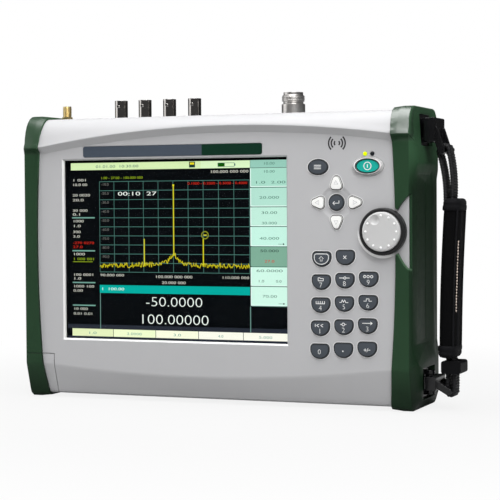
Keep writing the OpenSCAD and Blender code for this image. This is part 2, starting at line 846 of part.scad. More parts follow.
// Hand strap

module lug(z) {
    for (k = [-8.6, 5.4]) translate([0, 0, z + k]) {
        box(half, pin_x, strap_d - ear_r, strap_d + ear_r, 0, 3.2);
        pillar(pin_x, strap_d, ear_r, 0, 3.2);
    }
    box(half, half + 1.6, strap_d - 11.7, strap_d + 11.7, z - 10.7, z + 10.7);
    pillar(pin_x, strap_d, pin_r, z - 6, z + 6);
}

module strap_lugs() {
    color("black") {
        lug(up_z);
        lug(low_z);
    }
}

// Bar with round ends between two points
function capsule(a, b, r) =
    let (t = atan2(b[1] - a[1], b[0] - a[0]))
    concat(arc_pts(a[0], a[1], r, t + 90, t + 270, 8), arc_pts(b[0], b[1], r, t - 90, t + 90, 8));

// Link that turns on a lug's pin and holds the webbing on a round bar
module link(z, bar, plate) {
    h = 5.4 - pin_gap;
    x0 = pin_x + ear_r + 0.5;
    x1 = x0 + 3.2;
    difference() {
        union() {
            pillar(pin_x, strap_d, link_r, z - h, z + h);
            box(pin_x, x0 + 1, strap_d - 2.8, strap_d + 2.8, z - h, z + h);
        }
        pillar(pin_x, strap_d, pin_r + pin_gap, z - 9, z + 9);
    }
    slab(strap_d - 13, strap_d + 13) translate([(x0 + x1) / 2, z]) polygon(rrect(x1 - x0, plate, 1.2));
    // Cheeks that hide the pin from the front and the back
    for (s = [-11.25, 11.25]) box(pin_x, x0 + 1, strap_d + s - 1.75, strap_d + s + 1.75,
        z - plate / 2 + 0.4, z + plate / 2 - 0.4);
    for (s = [-1, 1]) slab(strap_d + s * arm_d - 1.3, strap_d + s * arm_d + 1.3)
        polygon(capsule([(x0 + x1) / 2 + 0.6, z], bar, 2.4));
    translate([bar[0], front_y + strap_d - arm_d, bar[1]]) rotate([-90, 0, 0])
        cylinder(h = 2 * arm_d, r = bar_r);
}

module strap_upper_link() {
    color("black") link(up_z, up_bar, 17);
}

module strap_lower_link() {
    color("black") link(low_z, low_bar, 10.2);
}

// Webbing loop in front view: round the bar, down both sides to its foot
function loop_pts(bar, r, foot, w, right, left) =
    let (a = bar, b = foot, m = (a[1] + b[1]) / 2)
    concat(
        quad(b + [w, 0], [b[0] + w + right, m], a + [r * 0.94, -r * 0.34], 8),
        arc_pts(a[0], a[1], r, 10, 170, 8),
        quad(a + [-r * 0.94, -r * 0.34], [b[0] - w - left, m], b + [-w, 0], 8));

function flipped(p) = [for (q = p) [q[0], -q[1]]];

module strap_upper_webbing() {
    color("black") slab(strap_d - web_w / 2, strap_d + web_w / 2) difference() {
        polygon(loop_pts(up_bar, loop_out, up_foot, 3.6, 4.2, 2.5));
        polygon(loop_pts(up_bar, loop_in, up_foot + [0, 8], 0.5, 3.6, 2.2));
    }
}

module strap_lower_webbing() {
    bar = [low_bar[0], -low_bar[1]];
    foot = [low_foot[0], -low_foot[1]];
    color("black") slab(strap_d - web_w / 2, strap_d + web_w / 2) difference() {
        polygon(flipped(loop_pts(bar, loop_out, foot, 3.6, 3.4, 0)));
        polygon(flipped(loop_pts(bar, loop_in, foot - [0, 6], 0.5, 2.6, 0)));
    }
}

// Padded sleeve: crowned across, drawn in at its ends
function pad_ring(t) =
    let (z = 36 + 111 * t,
         x = pad_in + 0.5 * pad_t + 4 * (t - 0.5) - 0.9 * (1 - pow(2 * t - 1, 2)) + 0.3,
         k = min(1, 0.62 + 0.38 * sqrt(1 - pow(abs(2 * t - 1), 14))),
         a = 0.5 * pad_t * k, b = 0.5 * pad_w * min(1, k + 0.12))
    [for (i = [0:23]) let (u = 360 * i / 24, c = cos(u), s = sin(u))
        [x + a * sign(c) * pow(abs(c), 0.62), front_y + strap_d + b * sign(s) * pow(abs(s), 0.62), z]];

module strap_pad() {
    color("black") difference() {
        skin([for (t = [0, 0.01, 0.03, 0.07, 0.14, 0.26, 0.38, 0.5, 0.62, 0.74, 0.86, 0.93, 0.97, 0.99, 1])
            pad_ring(t)]);
        strap_upper_webbing();
        strap_lower_webbing();
    }
}

module strap_buckle() {
    c = [low_foot[0] + 1, 29.5];
    color("dimgray") difference() {
        slab(strap_d - web_w / 2 - 2.4, strap_d + web_w / 2 + 2.4) translate(c) polygon(rrect(14, 9, 1.8));
        slab(strap_d - web_w / 2, strap_d + web_w / 2) translate(c) square([10.6, 12], center = true);
    }
}

// Tilt bail

module tilt_bail() {
    w = bail_w / 2;
    d0 = bail_d - bail_t / 2;
    d1 = bail_d + bail_t / 2;
    z0 = bail_z - bail_l;
    color("dimgray") difference() {
        union() {
            for (s = [-1, 1]) {
                box(s * (w - 4) - 4, s * (w - 4) + 4, d0, d1, z0, bail_z);
                translate([s * (w - 4) - 4, front_y + bail_d, bail_z]) rotate([0, 90, 0])
                    cylinder(h = 8, r = bail_t / 2 + 0.6);
            }
            box(-w, w, d0, d1, z0, z0 + 8);
        }
        translate([-w - 1, front_y + bail_d, bail_z]) rotate([0, 90, 0])
            cylinder(h = 2 * w + 2, r = bail_r + 0.3);
    }
}

module bail_brackets() {
    w = bail_w / 2;
    color("gray") for (s = [-1, 1]) {
        box(s * (w - 14.8) - 4.8, s * (w - 14.8) + 4.8, case_d - 8, case_d - 0.6, bail_z - 6.8, bail_z + 6.4);
        translate([s * (w - 5.2), front_y + bail_d, bail_z]) rotate([0, 90, 0])
            cylinder(h = 11.6, r = bail_r, center = true);
    }
}

// Keys

// One key: crowned cap, flange behind the panel, stem toward the board
module key(c, crown) {
    intersection() {
        slab(-key_proud, flange_d + e) translate(c) children(0);
        translate([c[0], front_y - key_proud + crown, c[1]]) sphere(r = crown, $fn = 64);
    }
    slab(flange_d, flange_d + flange_t) translate(c) children(1);
    post(c, 2, flange_d + flange_t - e, stem_d);
}

module number_key(k) {
    color("slategray") key(k, 34) {
        polygon(shield(key_w, key_h));
        polygon(shield(key_w + 2, key_h + 2));
    }
}

module arrow_key(a) {
    p = arrow_c + arrow_pitch * [-sin(a), cos(a)];
    color("whitesmoke") key(p, 40) {
        rotate(a) polygon(arrow(arrow_w, arrow_l, arrow_r));
        rotate(a) translate([0, 0.15]) polygon(arrow(arrow_w + 0.8, arrow_l + 1, arrow_r + 0.4));
    }
}

module key_menu() {
    color("slategray") key(menu_c, 34) {
        polygon(oval(14.5, 10.3));
        polygon(oval(16.5, 12.3));
    }
}

module key_power() {
    color("teal") key(power_c, 60) {
        polygon(oval(17, 9.6, 48));
        polygon(oval(18.6, 11.2, 48));
    }
}

module key_enter() {
    color("slategray") key(arrow_c, 30) {
        circle(d = enter_dia);
        circle(d = enter_dia + 2);
    }
}

module key_up() { arrow_key(0); }
module key_left() { arrow_key(90); }
module key_down() { arrow_key(180); }
module key_right() { arrow_key(270); }
module key_shift() { number_key(key_at(0, 4)); }
module key_esc() { number_key(key_at(1, 4)); }
module key_7() { number_key(key_at(0, 3)); }
module key_8() { number_key(key_at(1, 3)); }
module key_9() { number_key(key_at(2, 3)); }
module key_4() { number_key(key_at(0, 2)); }
module key_5() { number_key(key_at(1, 2)); }
module key_6() { number_key(key_at(2, 2)); }
module key_1() { number_key(key_at(0, 1)); }
module key_2() { number_key(key_at(1, 1)); }
module key_3() { number_key(key_at(2, 1)); }
module key_0() { number_key(key_at(0, 0)); }
module key_point() { number_key(key_at(1, 0)); }
module key_sign() { number_key(key_at(2, 0)); }

place() {
    front_bezel();
    rear_housing();
    connector_panel();
    left_bumper();
    right_bumper();
    nameplate();
    display_window();
    display_gasket();
    lcd_module();
    power_ring();
    indicator_leds();
    knob_cap();
    knob_skirt();
    encoder_shaft();
    encoder_body();
    keypad_board();
    main_board();
    rf_module();
    battery_pack();
    battery_door();
    battery_door_bumper();
    antenna_connector();
    bnc_connectors();
    rf_connector();
    connector_nuts();
    strap_lugs();
    strap_upper_link();
    strap_lower_link();
    strap_upper_webbing();
    strap_pad();
    strap_lower_webbing();
    strap_buckle();
    tilt_bail();
    bail_brackets();
    case_screws();
    speaker();
    fan_frame();
    fan_rotor();
    key_menu();
    key_power();
    key_up();
    key_down();
    key_left();
    key_right();
    key_enter();
    key_shift();
    key_esc();
    key_7();
    key_8();
    key_9();
    key_4();
    key_5();
    key_6();
    key_1();
    key_2();
    key_3();
    key_0();
    key_point();
    key_sign();
}
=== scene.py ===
"""Finishes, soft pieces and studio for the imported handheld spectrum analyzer."""
import math
import random

import bpy
from bpy.props import FloatProperty, FloatVectorProperty, IntProperty, PointerProperty
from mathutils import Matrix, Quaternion, Vector, geometry, noise
from mathutils.bvhtree import BVHTree


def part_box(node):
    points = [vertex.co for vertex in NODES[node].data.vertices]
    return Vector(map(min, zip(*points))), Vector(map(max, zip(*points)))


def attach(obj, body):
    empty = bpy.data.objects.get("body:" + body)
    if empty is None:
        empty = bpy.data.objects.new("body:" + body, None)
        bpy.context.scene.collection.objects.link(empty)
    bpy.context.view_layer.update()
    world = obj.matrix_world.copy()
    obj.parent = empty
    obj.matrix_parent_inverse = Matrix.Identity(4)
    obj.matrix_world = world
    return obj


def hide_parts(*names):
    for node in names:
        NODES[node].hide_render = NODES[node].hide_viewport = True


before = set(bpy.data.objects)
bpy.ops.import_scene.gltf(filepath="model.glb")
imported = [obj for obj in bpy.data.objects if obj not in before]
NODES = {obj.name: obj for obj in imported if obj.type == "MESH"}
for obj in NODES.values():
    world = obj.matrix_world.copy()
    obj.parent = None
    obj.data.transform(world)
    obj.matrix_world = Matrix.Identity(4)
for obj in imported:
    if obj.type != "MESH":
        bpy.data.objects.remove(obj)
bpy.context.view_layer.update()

bl_info = {
    "name": "Spectrum analyzer finishes",
    "version": (1, 0, 0),
    "blender": (4, 5, 0),
    "location": "View3D > Sidebar > Analyzer",
    "description": "Dresses a handheld spectrum analyzer: finishes, display picture, legends and hand strap",
    "category": "Object",
}


def middle(node):
    """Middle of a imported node."""
    return sum(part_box(node), Vector()) / 2


# The display window gives the middle of the case, to its right, and the plane of the front panel, before it.
WINDOW_TO_CASE, WINDOW_TO_PICTURE, WINDOW_DEPTH = 0.0294, 0.0009, 0.003
SCREEN_X, _, SCREEN_Z = middle("display_window")
CASE_X, PICTURE_X = SCREEN_X + WINDOW_TO_CASE, SCREEN_X + WINDOW_TO_PICTURE
PANEL_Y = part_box("display_window")[0].y - WINDOW_DEPTH
STRAP_Y = middle("strap_pad").y
SHARP_ANGLE, WELD = math.radians(32), 0.00002
NUMERAL_OF_SIZE = 0.73
DIGITS = list("7894561230")
ARROWS = {"up": 0, "left": 90, "down": 180, "right": 270}
KEYS = DIGITS + "menu power up down left right enter shift esc point sign".split()
KEY_SLOTS = {"arrow": "key_white", "teal": "key_teal", "slate": "key_slate"}


def key_kind(key):
    """Group of like keys that a key is in."""
    return "arrow" if key in ARROWS else "teal" if key == "power" else "slate"


def paint(code):
    """Linear colour from a six-digit display colour."""
    parts = [int(code[i:i + 2], 16) / 255 for i in (0, 2, 4)]
    return tuple(c / 12.92 if c <= 0.04045 else ((c + 0.055) / 1.055) ** 2.4 for c in parts)


def turns(count):
    """Even angles round a circle."""
    return [2 * math.pi * k / count for k in range(count)]


def squarish(value, power):
    """Power of a sine or cosine that keeps its sign: a low one squares a round section."""
    return math.copysign(abs(value) ** power, value)


class Shade:
    """One socket of a node; sums on a finish's sockets add Math nodes."""

    def __init__(self, finish, socket):
        self.finish, self.socket = finish, socket

    def __add__(self, other):
        return self.finish.maths("ADD", self, other)

    def __radd__(self, other):
        return self.finish.maths("ADD", other, self)

    def __sub__(self, other):
        return self.finish.maths("SUBTRACT", self, other)

    def __rsub__(self, other):
        return self.finish.maths("SUBTRACT", other, self)

    def __mul__(self, other):
        return self.finish.maths("MULTIPLY", self, other)

    def __rmul__(self, other):
        return self.finish.maths("MULTIPLY", other, self)

    def __pow__(self, other):
        return self.finish.maths("POWER", self, other)


class Tree:
    """A tree of nodes, each made by one method."""

    def __init__(self, tree):
        self.tree = tree
        self.tree.nodes.clear()

    def node(self, kind, settings=None, sockets=None, out=0):
        """Any node, from its type, its settings and the values or links of its sockets."""
        made = self.tree.nodes.new(kind)
        for key, value in (settings or {}).items():
            setattr(made, key, value)
        for key, value in (sockets or {}).items():
            socket = made.inputs[key]
            if isinstance(value, Shade):
                self.tree.links.new(value.socket, socket)
            elif socket.type == "RGBA" and len(value) == 3:
                socket.default_value = (*value, 1)
            else:
                socket.default_value = value
        return Shade(self, made.outputs[out]) if len(made.outputs) else None


class Finish(Tree):
    """A material's nodes, written as expressions."""

    def __init__(self, name, owner=None):
        self.material = owner or bpy.data.materials.new(name)
        self.material.use_nodes = True
        super().__init__(self.material.node_tree)
        self.places = {}

    def maths(self, operation, *values):
        return self.node("ShaderNodeMath", {"operation": operation}, dict(enumerate(values)))

    def place(self, out="Object"):
        if out not in self.places:
            self.places[out] = self.node("ShaderNodeTexCoord", out=out)
        return self.places[out]

    def axis(self, letter, where=None):
        return self.node("ShaderNodeSeparateXYZ", None, {0: where or self.place()}, letter)

    def noise(self, size, detail=2.0, stretch=None):
        where = self.place()
        if stretch:
            where = self.node("ShaderNodeVectorMath", {"operation": "MULTIPLY"}, {0: where, 1: stretch})
        return self.node("ShaderNodeTexNoise", None, {"Vector": where, "Scale": 1 / size, "Detail": detail})

    def sine(self, value):
        return self.maths("SINE", value)

    def size(self, value):
        return self.maths("ABSOLUTE", value)

    def reach(self, x, z, wide=1.0):
        """Distance from a line through the front, with the height stretched."""
        across, up = self.axis("X") - x, (self.axis("Z") - z) * wide
        return (across * across + up * up) ** 0.5

    def toward(self, way, normal=None):
        """How squarely the surface, or the normal given, faces a way."""
        normal = normal or self.node("ShaderNodeNewGeometry", out="Normal")
        return self.node("ShaderNodeVectorMath", {"operation": "DOT_PRODUCT"}, {0: normal, 1: way}, "Value")

    def fit(self, value, low, high, to_low=0.0, to_high=1.0):
        return self.node("ShaderNodeMapRange", {"interpolation_type": "SMOOTHSTEP"},
                         {0: value, 1: low, 2: high, 3: to_low, 4: to_high})

    def mix(self, factor, first, second):
        return self.node("ShaderNodeMix", {"data_type": "RGBA"}, {0: factor, 6: first, 7: second}, 2)

    def tint(self, colour, value):
        return self.node("ShaderNodeVectorMath", {"operation": "SCALE"}, {0: colour, "Scale": value})

    def bump(self, height, distance, normal=None):
        links = {"Height": height, "Distance": distance, "Strength": 1.0}
        if normal:
            links["Normal"] = normal
        return self.node("ShaderNodeBump", None, links)

    def edges(self, radius):
        """Rounded normal at the edges, and a mask of where they are."""
        soft = self.node("ShaderNodeBevel", {"samples": 5}, {"Radius": radius})
        return soft, self.fit(1 - self.toward(soft), 0.01, 0.2)

    def surface(self, values):
        shader = self.node("ShaderNodeBsdfPrincipled", None, values)
        self.node("ShaderNodeOutputMaterial", None, {"Surface": shader})
        return self.material


def moulded(name, colour, rough=0.5, grain=0.0006, relief=0.00002, mottle=0.08, wear=0.25, worn=None,
            radius=0.0005, shine=0.35, paint_over=None, form=None, polish=None):
    """Moulded plastic or rubber: faint clouding, fine grain and worn edges.

    paint_over adds colour to the base, form gives the height and depth of a broad relief,
    polish gives the places that are rubbed shiny.
    """
    f = Finish(name)
    soft, edge = f.edges(radius)
    if form:
        soft = f.bump(*form(f), soft)
    scuff = edge * f.fit(f.noise(0.004, 3), 0.35, 0.65)
    base = f.tint(colour, 1 + mottle * (f.noise(0.03, 4) - 0.5))
    base = f.mix(scuff * wear, base, worn or tuple(min(1, 1.6 * c + 0.03) for c in colour))
    if paint_over:
        base = paint_over(f, base)
    gloss = rough + 0.16 * (f.noise(0.006, 3) - 0.5)
    normal = f.bump(f.noise(grain), relief, soft)
    values = {"Base Color": base, "Roughness": gloss, "Normal": normal, "Specular IOR Level": shine}
    if polish:
        values.update({"Coat Weight": polish(f), "Coat Roughness": 0.38, "Coat IOR": 1.9})
    return f.surface(values)


def metal(name, colour, rough=0.25, stretch=(1, 1, 40)):
    """Plated or machined metal: fine turning lines and a tarnish cloud."""
    f = Finish(name)
    soft, edge = f.edges(0.0003)
    lines = f.noise(0.004, 3, stretch)
    base = f.tint(colour, 0.86 + 0.28 * f.noise(0.003, 4))
    base = f.mix(edge * 0.4, base, tuple(min(1, 1.25 * c) for c in colour))
    return f.surface({"Base Color": base, "Metallic": 1.0, "Roughness": rough + 0.18 * (lines - 0.5),
                      "Normal": f.bump(lines, 0.00001, soft)})


def woven(name, colour, level, thread, gloss=0.75, shine=0.07):
    """Woven nylon at a level of its colour: two crossing sets of threads with a slight sheen."""
    f = Finish(name)
    pitch = 2 * math.pi / thread
    weave = f.sine(f.axis("Z") * pitch) * f.sine((f.axis("X") + f.axis("Y")) * pitch) * 0.5 + 0.5
    lint = f.noise(0.0015, 3)
    base = f.tint(tuple(level * c for c in colour), 0.55 + 0.6 * weave + 0.5 * (lint - 0.5))
    return f.surface({"Base Color": base, "Roughness": gloss + 0.2 * (lint - 0.5),
                      "Normal": f.bump(weave + 0.6 * lint, 0.00012),
                      "Specular IOR Level": shine, "Sheen Weight": 0.02, "Sheen Roughness": 0.4})


def halved(name, left, right, split, rough, glow=0.0):
    """Two colours side by side, split across the case."""
    f = Finish(name)
    side = f.fit(f.axis("X"), split - 0.0001, split + 0.0001)
    toned = f.tint(f.mix(side, left, right), 0.94 + 0.12 * f.noise(0.004, 3))
    values = {"Base Color": toned, "Roughness": rough + 0.12 * (f.noise(0.003, 3) - 0.5),
              "Normal": f.bump(f.noise(0.0005), 0.000008, f.edges(0.0003)[0]), "Specular IOR Level": 0.2}
    if glow:
        values.update({"Emission Color": f.mix(side, left, (0.0, 0.0, 0.0)), "Emission Strength": glow})
    return f.surface(values)


def board(name, colour):
    """Circuit board: tracks, pads and a lacquer cloud."""
    f = Finish(name)

    def cells(scale, settings=None):
        return f.node("ShaderNodeTexVoronoi", settings, {"Vector": f.place(), "Scale": scale}, "Distance")

    track = f.fit(cells(220, {"feature": "DISTANCE_TO_EDGE"}), 0.08, 0.04)
    base = f.mix(track * 0.5, colour, tuple(2.0 * c for c in colour))
    dots = f.fit(cells(300), 0.16, 0.12)
    base = f.mix(dots * 0.8, base, (0.55, 0.5, 0.38))
    return f.surface({"Base Color": base, "Roughness": 0.35 + 0.2 * f.noise(0.002, 2), "Metallic": dots * 0.7,
                      "Normal": f.bump(track, 0.00004)})


def glow(name, colour, fall=0.12):
    """Lit display colour with the panel's fine dot pitch."""
    f = Finish(name)
    pitch = 2 * math.pi / 0.00027
    dots = f.sine(f.axis("X") * pitch) * f.sine(f.axis("Z") * pitch)
    level = 1 - fall * 0.5 + fall * f.noise(0.06, 2) + 0.04 * dots
    return f.surface({"Base Color": f.tint(colour, 0.1 * level), "Roughness": 0.5, "Specular IOR Level": 0.02,
                      "Emission Color": f.tint(colour, level), "Emission Strength": 1.0})


def ink(name, colour, rough=0.55):
    """Printed legend: even ink with fine pinholes and a soft surface."""
    f = Finish(name)
    thin = f.fit(f.noise(0.0003, 2), 0.3, 0.5, 0.82, 1.0)
    return f.surface({"Base Color": f.tint(colour, thin), "Roughness": rough + 0.1 * f.noise(0.001)})


def soft_shading():
    """Node group that shades a faceted solid smooth up to its real edges."""
    group = bpy.data.node_groups.new("soft_shading", "GeometryNodeTree")
    for way in ("INPUT", "OUTPUT"):
        group.interface.new_socket("Geometry", in_out=way, socket_type="NodeSocketGeometry")
    t = Tree(group)
    plain = t.node("GeometryNodeRemoveAttribute", None, {0: t.node("NodeGroupInput"), "Name": "custom_normal"})
    weld = t.node("GeometryNodeMergeByDistance", None, {0: plain, "Distance": WELD})
    smooth = t.node("GeometryNodeSetShadeSmooth", None, {0: weld})
    angle = t.node("GeometryNodeInputMeshEdgeAngle", out="Unsigned Angle")
    over = t.node("FunctionNodeCompare", {"operation": "GREATER_THAN"}, {0: angle, 1: SHARP_ANGLE})
    sharp = t.node("GeometryNodeSetShadeSmooth", {"domain": "EDGE"},
                   {0: smooth, "Selection": over, "Shade Smooth": False})
    t.node("NodeGroupOutput", None, {0: sharp})
    return group


def dress(names, material):
    """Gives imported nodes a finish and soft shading."""
    group = bpy.data.node_groups.get("soft_shading") or soft_shading()
    for name in names:
        obj = NODES[name]
        obj.data.materials.clear()
        obj.data.materials.append(material)
        obj.modifiers.new("soft_shading", "NODES").node_group = group
        obj.modifiers.new("even_normals", "WEIGHTED_NORMAL").keep_sharp = True


def piece(name, verts, faces, body, slot, materials, picks=None, smooth=True):
    """New mesh piece that rides on a body."""
    mesh = bpy.data.meshes.new(name)
    mesh.from_pydata([tuple(v) for v in verts], [], faces)
    for material in materials:
        mesh.materials.append(material)
    for i, face in enumerate(mesh.polygons):
        face.use_smooth = smooth
        if picks:
            face.material_index = picks[i]
    mesh.update()
    obj = bpy.data.objects.new(name, mesh)
    bpy.context.scene.collection.objects.link(obj)
    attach(obj, body)
    return obj


# Flat shapes: points across and up in millimetres, and faces.

def numerals(text, height, align="CENTER", thin=0.0):
    """Outline of a number."""
    curve = bpy.data.curves.new("numeral", "FONT")
    curve.body, curve.size, curve.align_x = text, height / NUMERAL_OF_SIZE, align
    curve.resolution_u, curve.offset = 4, -thin
    shape = bpy.data.objects.new("numeral", curve)
    bpy.context.scene.collection.objects.link(shape)
    mesh = bpy.data.meshes.new_from_object(shape)
    points = [(v.co.x, v.co.y) for v in mesh.vertices]
    faces = [tuple(p.vertices) for p in mesh.polygons]
    bpy.data.objects.remove(shape)
    bpy.data.curves.remove(curve)
    bpy.data.meshes.remove(mesh)
    return points, faces


def block(x0, x1, z0, z1):
    """Rectangle."""
    return [(x0, z0), (x1, z0), (x1, z1), (x0, z1)], [(0, 1, 2, 3)]


def moved(shape, z):
    """Shape moved up."""
    return [(x, up + z) for x, up in shape[0]], shape[1]


def ribbon(points, width, closed=False):
    """Band of even width along a line of points."""
    run = [Vector(p) for p in points]
    count = len(run)
    out = []
    for i, p in enumerate(run):
        before = run[(i - 1) % count] if closed or i else p
        after = run[(i + 1) % count] if closed or i < count - 1 else p
        ahead = (after - before).normalized()
        side = Vector((-ahead.y, ahead.x)) * width / 2
        out += [tuple(p + side), tuple(p - side)]
    steps = count if closed else count - 1
    return out, [(2 * i, 2 * i + 1, 2 * ((i + 1) % count) + 1, 2 * ((i + 1) % count)) for i in range(steps)]


def dense(points, closed=False, step=0.8):
    """Line of points with short steps, so that it can follow a rounded key."""
    run = [Vector(p) for p in points]
    out = []
    for a, b in zip(run, run[1:] + (run[:1] if closed else [])):
        count = max(1, math.ceil((b - a).length / step))
        out += [tuple(a.lerp(b, i / count)) for i in range(count)]
    return out if closed else out + [tuple(run[-1])]


def line(*points, width=0.5):
    """Band that can follow a rounded key."""
    return ribbon(dense(points), width)


def outline(points):
    """Closed band that can follow a rounded key."""
    return ribbon(dense(points, True), 0.5, True)


def arc(cx, cz, r, start, end, steps=24):
    """Points along a part of a circle, between two angles in degrees."""
    angles = [math.radians(start + (end - start) * i / steps) for i in range(steps + 1)]
    return [(cx + r * math.cos(a), cz + r * math.sin(a)) for a in angles]


def loop(x, z, r, width=0.5, steps=14):
    """Round band."""
    return ribbon(arc(x, z, r, 0, 360, steps)[:-1], width, True)


class Sheet:
    """Flat shapes in several colours, gathered into one piece."""

    def __init__(self):
        self.verts, self.faces, self.picks, self.colours = [], [], [], []

    def add(self, shape, colour, lift=0.0, shift=(0, 0)):
        if colour not in self.colours:
            self.colours.append(colour)
        base = len(self.verts)
        self.verts += [(p[0] + shift[0], lift, p[1] + shift[1]) for p in shape[0]]
        self.faces += [tuple(i + base for i in f) for f in shape[1]]
        self.picks += [self.colours.index(colour)] * len(shape[1])

    def rect(self, x0, x1, z0, z1, colour, lift=0.1):
        self.add(block(x0, x1, z0, z1), colour, lift)

    def lay(self, name, put, body, slot, materials):
        """Piece with each point put in place by a function, and its faces turned to the front, toward -Y."""
        faces = []
        for f in self.faces:
            a, b, c = (Vector(self.verts[i]) for i in f[:3])
            faces.append(tuple(reversed(f)) if (b - a).cross(c - a).y > 0 else f)
        piece(name, [put(*v) for v in self.verts], faces, body, slot, materials, self.picks, False)


class AnalyzerColours(bpy.types.PropertyGroup):
    """Colours of the visible finishes."""
    bezel: FloatVectorProperty(
        name="Bezel", description="Silver-grey moulding", subtype="COLOR", default=(0.47, 0.47, 0.48))
    bumper: FloatVectorProperty(
        name="Bumpers", description="Dark green rubber", subtype="COLOR", default=(0.020, 0.052, 0.025))
    keys: FloatVectorProperty(
        name="Keys", description="Slate silicone", subtype="COLOR", default=(0.060, 0.070, 0.084))
    arrows: FloatVectorProperty(
        name="Arrow keys", description="Off-white caps", subtype="COLOR", default=(0.92, 0.92, 0.90))
    power: FloatVectorProperty(
        name="Power key", description="Teal silicone", subtype="COLOR", default=(0.012, 0.40, 0.33))
    strap: FloatVectorProperty(
        name="Strap", description="Black nylon", subtype="COLOR", default=(0.012, 0.012, 0.014))
    thread: FloatVectorProperty(
        name="Thread", description="Pale stitching", subtype="COLOR", default=(0.70, 0.58, 0.50))


class AnalyzerSizes(bpy.types.PropertyGroup):
    """Sizes of the pieces made here."""
    numeral: FloatProperty(
        name="Key numeral", description="Height of the numbers on the keys", unit="LENGTH", default=0.0036)
    rib: FloatProperty(
        name="Webbing rib", description="Pitch of the ribs in the webbing", unit="LENGTH", default=0.0019)
    stitch: FloatProperty(
        name="Stitch", description="Length of one stitch on the pad", unit="LENGTH", default=0.0017)
    lens: FloatProperty(
        name="Lens", description="Focal length of the studio camera", unit="CAMERA", default=115.2)
    seed: IntProperty(name="Noise seed", description="Seed of the trace on the display", default=7)


